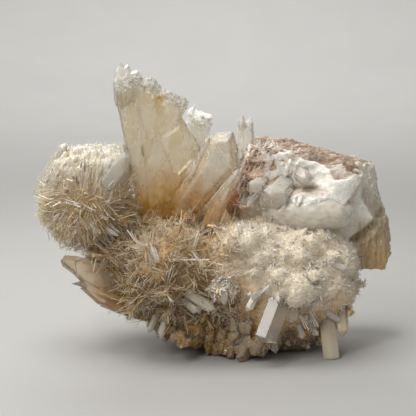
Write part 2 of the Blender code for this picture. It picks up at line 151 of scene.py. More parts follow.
# Needles: colour of dull ones and of bright ones, transmission, strength of the stains and of their
# painted shade, roughness and shine
NEEDLE_QUARTZ = {
    "pit_needle_quartz": ((242, 228, 208), (254, 250, 243), 0.1, 0.5, 0.15, 0.25),
    "crust_quartz": ((248, 242, 232), (255, 252, 248), 0.1, 0.2, 0.15, 0.25),
    # Near white needles: partly their own milky white, partly painted glints.
    "bright_needle_quartz": ((255, 252, 244), (255, 255, 252), 0.0, 0.0, 0.1, 0.25),
    "sheaf_needle_quartz": ((252, 230, 180), (255, 251, 236), 0.2, 0.3, 0.15, 0.25),
    "sheaf_fuzz_quartz": ((236, 200, 130), (248, 224, 174), 0.1, 0.5, 0.4, 0.1),
    "column_quartz": ((216, 207, 186), (226, 218, 200), 0.25, 0.3, 0.3, 0.25),
    "bed_needle_quartz": ((226, 204, 160), (253, 247, 232), 0.3, 0.8, 0.15, 0.25),
    "bed_fuzz_quartz": ((206, 160, 90), (232, 200, 142), 0.15, 1.3, 0.4, 0.1),
    "bed_point_quartz": ((232, 220, 200), (248, 242, 231), 0.12, 0.35, 0.35, 0.25),
    "stub_quartz": ((206, 184, 146), (232, 218, 190), 0.45, 0.5, 0.15, 0.25),
    "cluster_quartz": ((240, 230, 212), (252, 247, 236), 0.1, 0.0, 0.15, 0.25),
}
# The sheaf, mm: where columns take over from needles, its top, and its half sizes
SHEAF_SHOULDER, SHEAF_TOP = 98, 131
SHEAF_WIDE, SHEAF_DEEP, SHEAF_UP, SHEAF_DOWN = 25.5, 24.0, 35.5, 26.5
RUSTY_PLACE, RUSTY_REACH = Vector((14, -8, 96)), 13  # mm, what the block's crust leaves free
# How many places are tried for each kind of needle or bundle
TRIES = {
    "sheaf_needles": 2600, "sheaf_columns": 1500, "sheaf_fuzz": 8000, "bed_needles": 9000,
    "bed_points": 7000, "bed_stubs": 2200, "left_bed_fuzz": 14000, "right_bed_fuzz": 20000,
}
# Lights: name, place, size, power, tint, what it points at and spread, in metres, watts and degrees
MIDDLE = (0, 0, 0.08)
LIGHTS = (
    ("overhead", (-0.25, 0.0, 0.95), 0.7, 8.0, (1.0, 0.99, 0.96), MIDDLE, 180),
    ("front_left", (-0.5, -0.9, 0.85), 0.5, 5.0, (1.0, 0.99, 0.97), MIDDLE, 180),
    ("backdrop", (0.05, 0.9, 1.2), 0.6, 6.0, (1.0, 1.0, 1.0), (-0.1, 1.5, 0.2), 180),
    ("behind", (-0.15, 0.75, 0.5), 0.6, 0.45, (1.0, 1.0, 0.98), (0, 0, 0.13), 60),
    ("glint", (-0.35, -0.55, 0.9), 0.06, 1.5, (1.0, 0.99, 0.97), MIDDLE, 180),
)
# The sheet behind and below, metres: half width, half length, front end, start and end of its bend
SHEET_HALF_WIDTH, SHEET_HALF_LENGTH, SHEET_FRONT = 4.0, 3.15, -3.7
BEND_START, BEND_END, BEND_RADIUS = 4.85, 5.35, 0.32


def srgb(red, green, blue):
    """Scene colour, with alpha, of a screen colour given as 0 to 255."""
    def linear(value):
        share = value / 255
        return share / 12.92 if share <= 0.04045 else ((share + 0.055) / 1.055) ** 2.4

    return (linear(red), linear(green), linear(blue), 1.0)


def size_setting(name, description, value, least):
    """A length that a user may change, with its default and its least value given in millimetres."""
    return bpy.props.FloatProperty(
        name=name, description=description, default=value * MM, min=least * MM, unit="LENGTH"
    )


class ClusterSizes(bpy.types.PropertyGroup):
    """Sizes that set how the cluster has grown."""

    needle_width: size_setting("Needle width", "Width of a long needle of the bed", 0.75, 0.2)
    needle_length: size_setting("Needle length", "Length of a long needle of the bed", 11.5, 1)
    sheaf_needle_length: size_setting(
        "Sheaf needle length", "Length of a needle of the rounded sheaf", 12.0, 1
    )
    point_width: size_setting(
        "Point width", "Width of a small white point of the bed's right half", 1.3, 0.2
    )
    point_length: size_setting(
        "Point length", "Length of a small white point of the bed's right half", 3.2, 0.5
    )
    ledge_height: size_setting(
        "Ledge height", "Height of a ledge of the rind on top of the block", 0.8, 0.1
    )


def colour_setting(name, description, value):
    return bpy.props.FloatVectorProperty(
        name=name, description=description, subtype="COLOR", size=4, min=0.0, max=1.0, default=value
    )


class ClusterColours(bpy.types.PropertyGroup):
    """Colours of the quartz, its stains with their painted shade low down, and the stage."""

    milk: colour_setting("Milky quartz", "Colour of the whitest quartz", srgb(241, 236, 226))
    cream: colour_setting("Cream quartz", "Colour of the tall crystal", srgb(233, 217, 180))
    # Amber and brown colour the iron stains, and on the lowest parts of the cluster they also paint shade.
    amber: colour_setting("Amber stain", "Colour of light iron stains", srgb(208, 156, 50))
    umber: colour_setting("Brown stain", "Colour of deep iron stains", srgb(94, 52, 6))
    flaw: colour_setting("Flaw", "Colour of specks and flaws in the milky crystals", srgb(92, 68, 44))
    rust: colour_setting("Rust", "Colour of the rusty hollow", srgb(194, 118, 34))
    rind: colour_setting("Rind", "Colour of the layered rind on the block", srgb(128, 102, 78))
    side: colour_setting("Block side", "Colour of the block's broken side", srgb(164, 146, 116))
    floor: colour_setting("Floor", "Colour of the floor and backdrop", srgb(164, 163, 161))


def chosen_size(name):
    """A size setting, in millimetres."""
    return getattr(bpy.context.scene.quartz_sizes, name) / MM


def colour(name):
    """A colour setting, as a shader takes it."""
    return tuple(getattr(bpy.context.scene.quartz_colours, name))


class Tree:
    """A node tree with short ways to add nodes and wires."""

    def __init__(self, tree):
        self.tree = tree

    def feed(self, socket, value):
        """Sets a socket to a constant, or wires an output into it."""
        if isinstance(value, bpy.types.NodeSocket):
            self.tree.links.new(value, socket)
        else:
            socket.default_value = value

    def add(self, kind, settings=None, **values):
        """Adds a node. Values named i0, i1 and so on are for the inputs of those numbers."""
        node = self.tree.nodes.new(kind)
        for key, value in (settings or {}).items():
            setattr(node, key, value)
        for key, value in values.items():
            self.feed(node.inputs[int(key[1:]) if key[1:].isdigit() else key], value)
        return node

    def math(self, operation, first, second=0.0, clamp=False):
        """Output of a Math node."""
        settings = {"operation": operation, "use_clamp": clamp}
        return self.add("ShaderNodeMath", settings, i0=first, i1=second).outputs[0]

    def times(self, first, second, clamp=False):
        return self.math("MULTIPLY", first, second, clamp)

    def vector(self, operation, first, second=None, scale=None):
        """Output of a Vector Math node."""
        made = self.add("ShaderNodeVectorMath", {"operation": operation}, i0=first)
        if second is not None:
            self.feed(made.inputs[1], second)
        if scale is not None:
            self.feed(made.inputs["Scale"], scale)
        measures = operation in ("DISTANCE", "LENGTH", "DOT_PRODUCT")
        return made.outputs["Value" if measures else "Vector"]

    def mix(self, share, first, second):
        """Output of a colour mix."""
        return self.add("ShaderNodeMix", {"data_type": "RGBA"}, i0=share, i6=first, i7=second).outputs[2]

    def ramp(self, value, low, high):
        """Value stretched from low..high to 0..1 with soft ends."""
        values = {"Value": value, "From Min": low, "From Max": high}
        return self.add("ShaderNodeMapRange", {"interpolation_type": "SMOOTHSTEP"}, **values).outputs[0]

    def attribute(self, name):
        return self.add("ShaderNodeAttribute", {"attribute_name": name}).outputs["Fac"]

    def millimetres(self):
        """The place of a shaded point, in millimetres."""
        return self.vector("SCALE", self.add("ShaderNodeTexCoord").outputs["Object"], scale=1 / MM)

    def noise(self, place, scale, detail=3.0, roughness=0.55):
        values = {"Vector": place, "Scale": scale, "Detail": detail, "Roughness": roughness}
        return self.add("ShaderNodeTexNoise", None, **values).outputs["Fac"]

    def cells(self, place, scale):
        """How far a place is from the middle of its cell."""
        return self.add("ShaderNodeTexVoronoi", None, Vector=place, Scale=scale).outputs["Distance"]


def new_group(name, given, results):
    """An empty shader group that puts out numbers: its tree, what it is given and its results."""
    group = bpy.data.node_groups.new(name, "ShaderNodeTree")
    for label, default in given.items():
        kind = "NodeSocketVector" if isinstance(default, tuple) else "NodeSocketFloat"
        group.interface.new_socket(label, in_out="INPUT", socket_type=kind).default_value = default
    for label in results:
        group.interface.new_socket(label, in_out="OUTPUT", socket_type="NodeSocketFloat")
    start, end = group.nodes.new("NodeGroupInput"), group.nodes.new("NodeGroupOutput")
    return Tree(group), start.outputs, end.inputs


def near_places(tree, place, rows):
    """Mask that is strongest near each of some places, given as centre, radius and strength."""
    total = None
    for centre, radius, strength in rows:
        away = tree.math("DIVIDE", tree.vector("DISTANCE", place, centre), radius)
        near = tree.times(tree.math("SUBTRACT", 1.0, away, clamp=True), strength)
        total = near if total is None else tree.math("MAXIMUM", total, near)
    return total


def stain_and_shade_group():
    """Masks of the iron stains, which also paint shade low on the cluster, and of the rust: near each
    listed place, broken up by noise.
    """
    tree, given, results = new_group("iron_stain", {"Strength": 1.0}, ("Stain", "Rust"))
    place = tree.millimetres()
    patches = tree.ramp(tree.noise(place, 0.16, 4.0), 0.25, 0.7)
    broken = tree.math("ADD", tree.times(patches, 0.5), 0.5)
    stain = tree.times(near_places(tree, place, STAINS_AND_LOW_SHADE), broken)
    tree.feed(results["Stain"], tree.times(stain, given["Strength"]))
    tree.feed(results["Rust"], tree.times(near_places(tree, place, RUSTS), broken))
    return tree.tree


def growth_line_group():
    """Fine lines along a crystal that leans by Tilt in the XZ plane, and the veils inside it."""
    tree, given, results = new_group("growth_lines", {"Tilt": 0.0}, ("Lines", "Veils"))
    turned = tree.add(
        "ShaderNodeVectorRotate", {"rotation_type": "Y_AXIS"},
        Vector=tree.millimetres(), Angle=given["Tilt"],
    ).outputs[0]
    long = tree.vector("MULTIPLY", turned, (1.0, 1.0, 0.03))
    tree.feed(results["Lines"], tree.noise(long, 1.3, 3.0, 0.65))
    veiled = tree.vector("MULTIPLY", turned, (1.0, 1.0, 0.35))
    tree.feed(results["Veils"], tree.ramp(tree.noise(veiled, 0.13, 5.0, 0.62), 0.36, 0.66))
    return tree.tree


def speck_group():
    """Mask of small dark specks, gathered in patches."""
    tree, given, results = new_group("iron_specks", {"Spacing": 0.5}, ("Specks",))
    place = tree.millimetres()
    small = tree.ramp(tree.cells(place, given["Spacing"]), 0.16, 0.08)
    patches = tree.ramp(tree.noise(place, 0.09, 2.0), 0.52, 0.62)
    tree.feed(results["Specks"], tree.times(small, patches))
    return tree.tree


def sugar_group():
    """Height of small packed crystals."""
    tree, given, results = new_group("sugar_grain", {"Fineness": 1.0}, ("Height",))
    place = tree.millimetres()
    coarse = tree.math("SUBTRACT", 1.0, tree.cells(place, given["Fineness"]))
    fine = tree.times(tree.cells(place, tree.times(given["Fineness"], 2.3)), -0.4)
    tree.feed(results["Height"], tree.math("ADD", coarse, fine))
    return tree.tree


def flaw_group():
    """Mask of a thin flaw that runs from Start to End, as seen from the front."""
    given = {"Start": (0, 0, 0), "End": (0, 0, 10), "Width": 0.5}
    tree, given, results = new_group("flaw_line", given, ("Flaw",))
    place = tree.millimetres()
    wobble = tree.times(tree.math("SUBTRACT", tree.noise(place, 0.3), 0.5), 2.0)
    here = tree.vector("SUBTRACT", tree.vector("MULTIPLY", place, (1.0, 0.0, 1.0)), given["Start"])
    run = tree.vector("SUBTRACT", given["End"], given["Start"])
    length = tree.vector("LENGTH", run)
    along = tree.vector("DOT_PRODUCT", here, run)
    share = tree.math("DIVIDE", along, tree.times(length, length), clamp=True)
    away = tree.vector("DISTANCE", here, tree.vector("SCALE", run, scale=share))
    away = tree.math("ABSOLUTE", tree.math("ADD", away, wobble))
    thin = tree.math("SUBTRACT", 1.0, tree.math("DIVIDE", away, given["Width"]), clamp=True)
    tree.feed(results["Flaw"], thin)
    return tree.tree


def effect(tree, group, **values):
    """Outputs of a shared group, built on first use and placed with this material's own values."""
    builders = {
        "iron_stain": stain_and_shade_group, "growth_lines": growth_line_group, "iron_specks": speck_group,
        "flaw_line": flaw_group, "sugar_grain": sugar_group,
    }
    shared = bpy.data.node_groups.get(group) or builders[group]()
    return tree.add("ShaderNodeGroup", {"node_tree": shared}, **values).outputs


def new_material(name, roughness, transmission=0.0, glow=0.0):
    """A material, its node tree and its shader. Glow is how deep light spreads, in mm."""
    material = bpy.data.materials.new(name)
    material.use_nodes = True
    shader = material.node_tree.nodes["Principled BSDF"]
    shader.inputs["Roughness"].default_value = roughness
    shader.inputs["IOR"].default_value = QUARTZ_IOR
    shader.inputs["Transmission Weight"].default_value = transmission
    if glow:
        shader.inputs["Subsurface Weight"].default_value = 1.0
        shader.inputs["Subsurface Radius"].default_value = (1.0, 1.0, 1.0)
        shader.inputs["Subsurface Scale"].default_value = glow * MM
    return material, Tree(material.node_tree), shader


def absorb(material, tree, tint, density):
    """Lets the colour deepen with the thickness of the crystal."""
    volume = tree.add("ShaderNodeVolumeAbsorption", None, Color=tint, Density=density)
    tree.feed(material.node_tree.nodes["Material Output"].inputs["Volume"], volume.outputs[0])


def bump(tree, shader, height, strength, distance):
    made = tree.add("ShaderNodeBump", None, Height=height, Strength=strength, Distance=distance * MM)
    tree.feed(shader.inputs["Normal"], made.outputs[0])


def stained_and_shaded(tree, plain, stain, rust=None):
    """Colour of quartz that goes from plain through amber to brown as the stain, with its painted shade
    low down, deepens.
    """
    light = tree.mix(tree.times(stain, 1.6, clamp=True), plain, colour("amber"))
    deep = tree.mix(tree.ramp(stain, 0.4, 1.05), light, colour("umber"))
    return deep if rust is None else tree.mix(rust, deep, colour("rust"))


def needle_material(name):
    """Needles of a dull to a bright colour, stained at the foot, with painted shade low on the cluster.
    Built once.
    """
    found = bpy.data.materials.get(name)
    if found:
        return found
    dull, bright, transmission, stain, roughness, shine = NEEDLE_QUARTZ[name]
    material, tree, shader = new_material(name, roughness, transmission, glow=2.0)
    shader.inputs["Specular IOR Level"].default_value = shine
    body = tree.mix(tree.attribute("tone"), srgb(*dull), srgb(*bright))
    iron_and_shade = effect(tree, "iron_stain", Strength=stain)
    fading = tree.math("SUBTRACT", 1.0, tree.times(tree.ramp(tree.attribute("along"), 0.1, 0.8), 0.8))
    tinted = stained_and_shaded(tree, body, tree.times(iron_and_shade["Stain"], fading), tree.times(iron_and_shade["Rust"], 0.35))
    tree.feed(shader.inputs["Base Color"], tinted)
    return material


def core_material(name, plain, stain):
    """The massive quartz that needles stand on: cloudy, sugary, stained, with painted shade low down."""
    material, tree, shader = new_material(name, 0.4, glow=3.0)
    shader.inputs["Specular IOR Level"].default_value = 0.2
    grain = tree.noise(tree.millimetres(), 0.9, 5.0, 0.7)
    sugar = effect(tree, "sugar_grain", Fineness=0.8)["Height"]
    iron_and_shade = effect(tree, "iron_stain", Strength=stain)
    uneven = tree.times(tree.math("SUBTRACT", 0.5, grain), 0.35)
    tinted = stained_and_shaded(tree, plain, tree.math("ADD", iron_and_shade["Stain"], uneven, clamp=True), iron_and_shade["Rust"])
    pale = tree.times(tree.ramp(sugar, 0.75, 0.1), 0.25)
    tree.feed(shader.inputs["Base Color"], tree.mix(pale, tinted, colour("milk")))
    bump(tree, shader, tree.math("ADD", tree.times(grain, 0.6), sugar), 0.7, 0.7)
    return material


def milky_material(name, flaws=()):
    """A milky crystal: lines on its faces, veils and flaws inside, stains with painted shade low down, and
    specks. Built once.
    """
    found = bpy.data.materials.get(name)
    if found:
        return found
    tint, tilt, transmission, stain, roughness, density, glow = MILKY_QUARTZ[name]
    plain = colour(tint) if isinstance(tint, str) else srgb(*tint)
    material, tree, shader = new_material(name, roughness, transmission, glow)
    growth = effect(tree, "growth_lines", Tilt=math.radians(tilt))
    lines, veils = growth["Lines"], growth["Veils"]
    streaks = tree.times(tree.ramp(lines, 0.35, 0.7), 0.35)
    milkiness = tree.math("ADD", tree.times(veils, 0.65), streaks, clamp=True)
    cloudy = tree.mix(milkiness, plain, colour("milk"))
    iron_and_shade = effect(tree, "iron_stain", Strength=stain)
    lined = tree.math("ADD", tree.times(lines, 0.6), 0.7)
    tinted = stained_and_shaded(tree, cloudy, tree.times(iron_and_shade["Stain"], lined, clamp=True))
    marks = effect(tree, "iron_specks", Spacing=0.45)["Specks"]
    for first, last, width, strength in flaws:
        flaw = effect(tree, "flaw_line", Start=first, End=last, Width=width)["Flaw"]
        marks = tree.math("MAXIMUM", marks, tree.times(flaw, strength))
    tree.feed(shader.inputs["Base Color"], tree.mix(marks, tinted, colour("flaw")))
    uneven = tree.times(tree.math("SUBTRACT", veils, 0.5), roughness * 0.9)
    tree.feed(shader.inputs["Roughness"], tree.math("ADD", uneven, roughness))
    bump(tree, shader, lines, strength=0.2, distance=0.35)
    absorb(material, tree, plain, density)
    return material


def tall_material():
    """The tall crystal: milky, golden at its foot, with curved flaws near its tip and an amber spot."""
    material = milky_material("tall_quartz", TALL_FLAWS)
    tree = Tree(material.node_tree)
    shader = material.node_tree.nodes["Principled BSDF"]
    tinted = shader.inputs["Base Color"].links[0].from_socket
    place = tree.millimetres()
    rings = tree.add(
        "ShaderNodeTexWave", {"wave_type": "RINGS", "rings_direction": "Y"},
        Vector=tree.vector("SUBTRACT", place, RING_CENTRE), Scale=0.16, Distortion=5.0, Detail=3.0,
    ).outputs["Fac"]
    flaws = tree.times(tree.ramp(rings, 0.72, 0.95), near_places(tree, place, RINGS))
    greyed = tree.mix(flaws, tinted, srgb(120, 108, 88))
    crest = near_places(tree, place, [(point, 15, 2.2) for point in CREST_LINE])
    broken = tree.times(crest, tree.ramp(tree.noise(place, 0.25), 0.3, 0.55), clamp=True)
    whitened = tree.mix(broken, greyed, srgb(248, 246, 240))
    spot = tree.ramp(tree.noise(place, 0.5), 0.3, 0.6)
    patchy = tree.times(near_places(tree, place, AMBER_SPOTS), spot)
    tree.feed(shader.inputs["Base Color"], tree.mix(patchy, whitened, srgb(208, 164, 66)))
    return material


def block_material():
    """The block: white broken front with brown pits, layered rind on top, striped brown side."""
    material, tree, shader = new_material("block_quartz", 0.5, glow=3.0)
    place = tree.millimetres()
    grain = tree.noise(place, 0.5, 6.0, 0.65)
    white = tree.mix(tree.ramp(grain, 0.3, 0.7), srgb(244, 237, 225), srgb(255, 252, 246))
    layered = tree.noise(tree.vector("MULTIPLY", place, (0.12, 0.12, 1.4)), 0.8, 4.0, 0.6)
    rind = tree.mix(tree.ramp(layered, 0.3, 0.7), colour("rind"), srgb(164, 144, 124))
    striped = tree.noise(tree.vector("MULTIPLY", place, (1.0, 1.0, 0.1)), 0.55, 5.0, 0.62)
    stripes = tree.ramp(striped, 0.3, 0.7)
    side = tree.mix(stripes, colour("side"), srgb(206, 194, 170))
    body = tree.mix(tree.attribute("side"), white, side)
    body = tree.mix(tree.attribute("rind"), body, rind)
    iron_and_shade = effect(tree, "iron_stain", Strength=0.8)
    share = tree.math("MAXIMUM", iron_and_shade["Stain"], tree.attribute("pit"))
    tree.feed(shader.inputs["Base Color"], stained_and_shaded(tree, body, share, iron_and_shade["Rust"]))
    height = tree.math("ADD", grain, tree.times(stripes, tree.attribute("side")))
    sugar = effect(tree, "sugar_grain", Fineness=0.7)["Height"]
    bump(tree, shader, tree.math("ADD", height, tree.times(sugar, 0.8)), 0.7, 0.9)
    return material


def as_mesh(name, bm):
    """A mesh from a bmesh, which is used up. Its normals are recalculated."""
    bmesh.ops.recalc_face_normals(bm, faces=bm.faces)
    mesh = bpy.data.meshes.new(name)
    bm.to_mesh(mesh)
    bm.free()
    return mesh


def as_bmesh(mesh):
    """A bmesh that starts as a copy of a mesh."""
    bm = bmesh.new()
    bm.from_mesh(mesh)
    return bm


def linked(name, data):
    """A new object in the scene."""
    item = bpy.data.objects.new(name, data)
    bpy.context.scene.collection.objects.link(item)
    return item


def shelf_of(name, meshes):
    """A collection that holds an object for each mesh, in their order."""
    shelf = bpy.data.collections.new(name)
    bpy.context.scene.collection.children.link(shelf)
    for number, mesh in enumerate(meshes):
        shelf.objects.link(bpy.data.objects.new(f"{name}_{number}", mesh))
    return shelf


def clear_away(shelf):
    """Removes a collection and its objects."""
    for item in list(shelf.objects):
        bpy.data.objects.remove(item, do_unlink=True)
    bpy.data.collections.remove(shelf)


def new_piece(name, mesh, material, slot, *nodes):
    """A piece of the cluster, from a mesh in millimetres, in place of the named CAD nodes."""
    mesh.transform(Matrix.Scale(MM, 4))
    mesh.materials.clear()
    mesh.materials.append(material)
    mesh.name = name
    piece = linked(name, mesh)
    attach(piece, "root")
    if nodes:
        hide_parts(*nodes)
    return piece


def shade_smooth(piece):
    for face in piece.data.polygons:
        face.use_smooth = True


def evaluated_mesh(item):
    """The mesh of an object with its modifiers applied. The object is removed."""
    bpy.context.view_layer.update()
    mesh = bpy.data.meshes.new_from_object(item.evaluated_get(bpy.context.evaluated_depsgraph_get()))
    bpy.data.objects.remove(item, do_unlink=True)
    return mesh


def in_millimetres(nodes):
    """The meshes of CAD nodes, in millimetres, as one bmesh."""
    bm = bmesh.new()
    for node in nodes:
        bm.from_mesh(frame["nodes"][node].data)
    bmesh.ops.scale(bm, verts=bm.verts, vec=(1 / MM, 1 / MM, 1 / MM))
    return bm


def evened(mesh, facet, rounds):
    """A closed mesh with small even facets, smoothed over some rounds, as a bmesh."""
    item = linked("evened", mesh)
    remesh = item.modifiers.new("even", "REMESH")
    remesh.mode = "VOXEL"
    remesh.voxel_size = facet
    bm = as_bmesh(evaluated_mesh(item))
    for _ in range(rounds):
        bmesh.ops.smooth_vert(
            bm, verts=bm.verts, factor=0.5, use_axis_x=True, use_axis_y=True, use_axis_z=True
        )
    bm.normal_update()
    return bm


def even_copy(node, facet, rounds):
    """A copy of a CAD node, its loose triangles merged, with small even facets, as a bmesh."""
    bm = in_millimetres([node])
    bmesh.ops.remove_doubles(bm, verts=bm.verts, dist=0.001)
    return evened(as_mesh(node + "_even", bm), facet, rounds)


def broken_height(place, cell):
    """Height of a surface that broke into tilted facets of about a cell's size."""
    near = noise.voronoi(place / cell)[1][0]
    tilt = noise.cell_vector(near * 3.7) - Vector((0.5, 0.5, 0.5))
    return (place - near * cell).dot(tilt) + tilt.y * cell * 0.18


def obstacle(nodes):
    """A search tree of other nodes' surfaces, which needles stop at."""
    joined = in_millimetres(nodes)
    found = BVHTree.FromBMesh(joined)
    joined.free()
    return found


def seen_at(surface, x, z):
    """Where a surface is seen from the front at a place in the XZ plane, and the way out of it."""
    return surface.ray_cast(Vector((x, LOOK_START, z)), Vector((0, 1, 0)))[:2]


def in_clearing(place):
    """Whether a place is on a part of the bed's front that needles leave free."""
    return place.y < -10 and any(
        math.hypot(place.x - x, place.z - z) < radius for x, z, radius in CLEARINGS
    )


class Ground:
    """A surface that needles grow from, and the places that are free on it."""

    def __init__(self, bm, others, clearance, rng):
        self.rng = rng

        def is_free(place):
            return others.find_nearest(place, clearance)[0] is None and not in_clearing(place)

        self.faces = [face for face in bm.faces if is_free(face.calc_center_median())]
        self.sums = np.cumsum([face.calc_area() for face in self.faces])

    def place(self):
        """A place on the surface and the way out of it."""
        face = self.faces[int(np.searchsorted(self.sums, self.rng.random() * self.sums[-1]))]
        spare = [self.rng.random() for _ in face.verts]
        total = sum(spare)
        spot = Vector((0, 0, 0))
        for share, vertex in zip(spare, face.verts):
            spot += vertex.co * (share / total)
        return spot, face.normal.copy()


class Sprouts:
    """Needles to be grown: foot, way, width, length, tone and form of each."""

    def __init__(self, others, rng):
        self.others = others
        self.rng = rng
        self.found = []

    def add(self, foot, way, width, length, tone, form, start=2.0, depth=None):
        """Adds a needle that stops at other pieces and at the surface that the cluster rests on."""
        way = way.normalized()
        hit = self.others.ray_cast(foot + way * start, way, length)[3] if self.others else None
        if hit is not None:
            length = start + hit
        tip = foot + way * length
        for axis, (low, high) in enumerate(LIMITS):
            if not low < tip[axis] < high:
                length = min(length, ((low if way[axis] < 0 else high) - foot[axis]) / way[axis])
        # A needle that would sink into the resting surface is shortened, or left out if it can't be
        if tip.z < width / 2:
            if foot.z < 3.0 or way.z > -0.05:
                return
            length = min(length, (width / 2 + 0.3 - foot.z) / way.z)
        if length < width * 1.2:
            return
        flat = (depth or width) * self.rng.uniform(0.85, 1.0)
        rolled = Matrix.Rotation(self.rng.uniform(0, 2), 4, "Z").to_quaternion()
        turn = (way.to_track_quat("Z", "Y") @ rolled).to_euler()
        self.found.append((foot, turn, (width / 2, flat / 2, length), tone, form))

    def cloud(self, name):
        """A mesh of loose points that carries the needles' turns, sizes and tones."""
        mesh = bpy.data.meshes.new(name)
        mesh.vertices.add(len(self.found))
        mesh.vertices.foreach_set("co", np.array([item[0] for item in self.found]).ravel())
        for label, kind, index in (("turn", "FLOAT_VECTOR", 1), ("size", "FLOAT_VECTOR", 2)):
            layer = mesh.attributes.new(label, kind, "POINT")
            layer.data.foreach_set("vector", np.array([item[index][:] for item in self.found]).ravel())
        for label, kind, index in (("tone", "FLOAT", 3), ("form", "INT", 4)):
            layer = mesh.attributes.new(label, kind, "POINT")
            layer.data.foreach_set("value", [item[index] for item in self.found])
        return mesh


def needle_form(sides, taper, point, aside):
    """One needle, one long and two wide, with its tip a share of its length and off its middle."""
    bm = bmesh.new()
    bmesh.ops.create_cone(bm, cap_ends=True, segments=sides, radius1=1.0, radius2=taper, depth=1.0 - point)
    bmesh.ops.translate(bm, verts=bm.verts, vec=(0, 0, (1.0 - point) / 2))
    top = max(bm.faces, key=lambda face: face.calc_center_median().z)
    tip = bmesh.ops.poke(bm, faces=[top], offset=point)["verts"][0]
    tip.co.x += aside
    mesh = as_mesh("needle_form", bm)
    layer = mesh.attributes.new("along", "FLOAT", "POINT")
    layer.data.foreach_set("value", [vertex.co.z for vertex in mesh.vertices])
    return mesh


def grow(sprouts, forms, name, finish, slot):
    """Pieces that hold a form on every sprout, each piece small enough for its file."""
    found = sprouts.found
    count = math.ceil(len(found) / NEEDLES_IN_A_PIECE)
    for number in range(count):
        sprouts.found = found[number::count]
        label = name if count == 1 else f"{name}_{number + 1}"
        grow_one(sprouts, forms, label, needle_material(finish), slot)


def grow_one(sprouts, forms, name, material, slot):
    """One piece made of a form set on every sprout, by geometry nodes with the instances realized."""
    shelf = shelf_of(name + "_form", [needle_form(*values) for values in forms])
    nodes_tree = bpy.data.node_groups.new(name + "_growth", "GeometryNodeTree")
    for way in ("INPUT", "OUTPUT"):
        nodes_tree.interface.new_socket("Geometry", in_out=way, socket_type="NodeSocketGeometry")
    tree = Tree(nodes_tree)
    start, end = nodes_tree.nodes.new("NodeGroupInput"), nodes_tree.nodes.new("NodeGroupOutput")
    source = tree.add("GeometryNodeCollectionInfo", None, Collection=shelf)
    source.inputs["Separate Children"].default_value = True
    source.inputs["Reset Children"].default_value = True

    def carried(label, kind):
        read = tree.add("GeometryNodeInputNamedAttribute", {"data_type": kind}, Name=label)
        return read.outputs["Attribute"]

    turn = tree.add("FunctionNodeEulerToRotation", None, Euler=carried("turn", "FLOAT_VECTOR")).outputs[0]
    placed = tree.add(
        "GeometryNodeInstanceOnPoints", None, Points=start.outputs[0], Instance=source.outputs[0],
        Rotation=turn, Scale=carried("size", "FLOAT_VECTOR"),
    )
    placed.inputs["Pick Instance"].default_value = True
    nodes_tree.links.new(carried("form", "INT"), placed.inputs["Instance Index"])
    joined = tree.add("GeometryNodeRealizeInstances", None, Geometry=placed.outputs[0])
    nodes_tree.links.new(joined.outputs[0], end.inputs[0])

    item = linked(name + "_cloud", sprouts.cloud(name + "_cloud"))
    modifier = item.modifiers.new("growth", "NODES")
    modifier.node_group = nodes_tree
    mesh = evaluated_mesh(item)
    for label in ("turn", "size", "form"):
        if label in mesh.attributes:
            mesh.attributes.remove(mesh.attributes[label])
    clear_away(shelf)
    new_piece(name, mesh, material, slot)


def lean(way, angle, rng):
    """A direction that leans from way by an angle, to a random side."""
    side = way.orthogonal().normalized()
    side.rotate(Matrix.Rotation(rng.uniform(0, 2 * math.pi), 3, way))
    return way * math.cos(angle) + side * math.sin(angle)


def uneven_prism(base, tip, width, depth, taper, point, turn, ridge, rng):
    """A six-sided crystal with uneven edges and its tip off its middle, as a closed bmesh."""
    aside = rng.uniform(-0.4, 0.4)
    base, tip = Vector(base), Vector(tip)
    length = (tip - base).length
    cap = point * width / 2
    bm = bmesh.new()
    bmesh.ops.create_cone(bm, cap_ends=True, segments=6, radius1=1.0, radius2=1.0, depth=length - cap)
    offset = rng.uniform(0, 100)
    for vertex in bm.verts:
        angle = math.atan2(vertex.co.y, vertex.co.x)
        step = ridge * noise.noise(Vector((math.cos(angle) * 4.5, math.sin(angle) * 4.5, offset)))
        share = taper if vertex.co.z > 0 else 1.0
        vertex.co.x *= CORNER * share * (width / 2 + step)
        vertex.co.y *= CORNER * share * (width / 2 + step)
    top = max(bm.faces, key=lambda face: face.calc_center_median().z)
    apex = bmesh.ops.poke(bm, faces=[top], offset=cap)["verts"][0]
    apex.co.x = aside * width / 2
    apex.co.y = 0.0
    bmesh.ops.translate(bm, verts=bm.verts, vec=(0, 0, (length - cap) / 2))
    along = (tip - base).normalized()
    across = (Vector((0, 1, 0)) - along * along.y).normalized()
    side = across.cross(along)
    upright = Matrix((side, across, along)).transposed().to_4x4()
    turned = Matrix.Rotation(math.radians(turn), 4, "Z")
    flattened = Matrix.Diagonal((1, depth / width, 1, 1))
    matrix = Matrix.Translation(base) @ upright @ flattened @ turned
    bmesh.ops.transform(bm, verts=bm.verts, matrix=matrix)
    return bm


def slab(outline, front, back, chamfer, rise):
    """A flat crystal: an outline in the XZ plane, sloping in towards the front and the back."""
    bm = bmesh.new()
    middle = (front + back) / 2
    face = bm.faces.new([bm.verts.new((x, middle - SLAB_HALF, z)) for x, z in outline])
    grown = bmesh.ops.extrude_face_region(bm, geom=[face])["geom"]
    corners = [item for item in grown if isinstance(item, bmesh.types.BMVert)]
    bmesh.ops.translate(bm, verts=corners, vec=(0, 2 * SLAB_HALF, 0))
    bmesh.ops.recalc_face_normals(bm, faces=bm.faces)
    for way, reach in ((-1, middle - front), (1, back - middle)):
        flat = max(bm.faces, key=lambda item: item.normal.y * way)
        bmesh.ops.inset_region(
            bm, faces=[flat], thickness=chamfer, depth=reach - SLAB_HALF,
            use_even_offset=True, use_boundary=True,
        )
        bmesh.ops.recalc_face_normals(bm, faces=bm.faces)
    for vertex in bm.verts:
        vertex.co.y += rise * noise.noise(vertex.co * 0.05)
    return bm


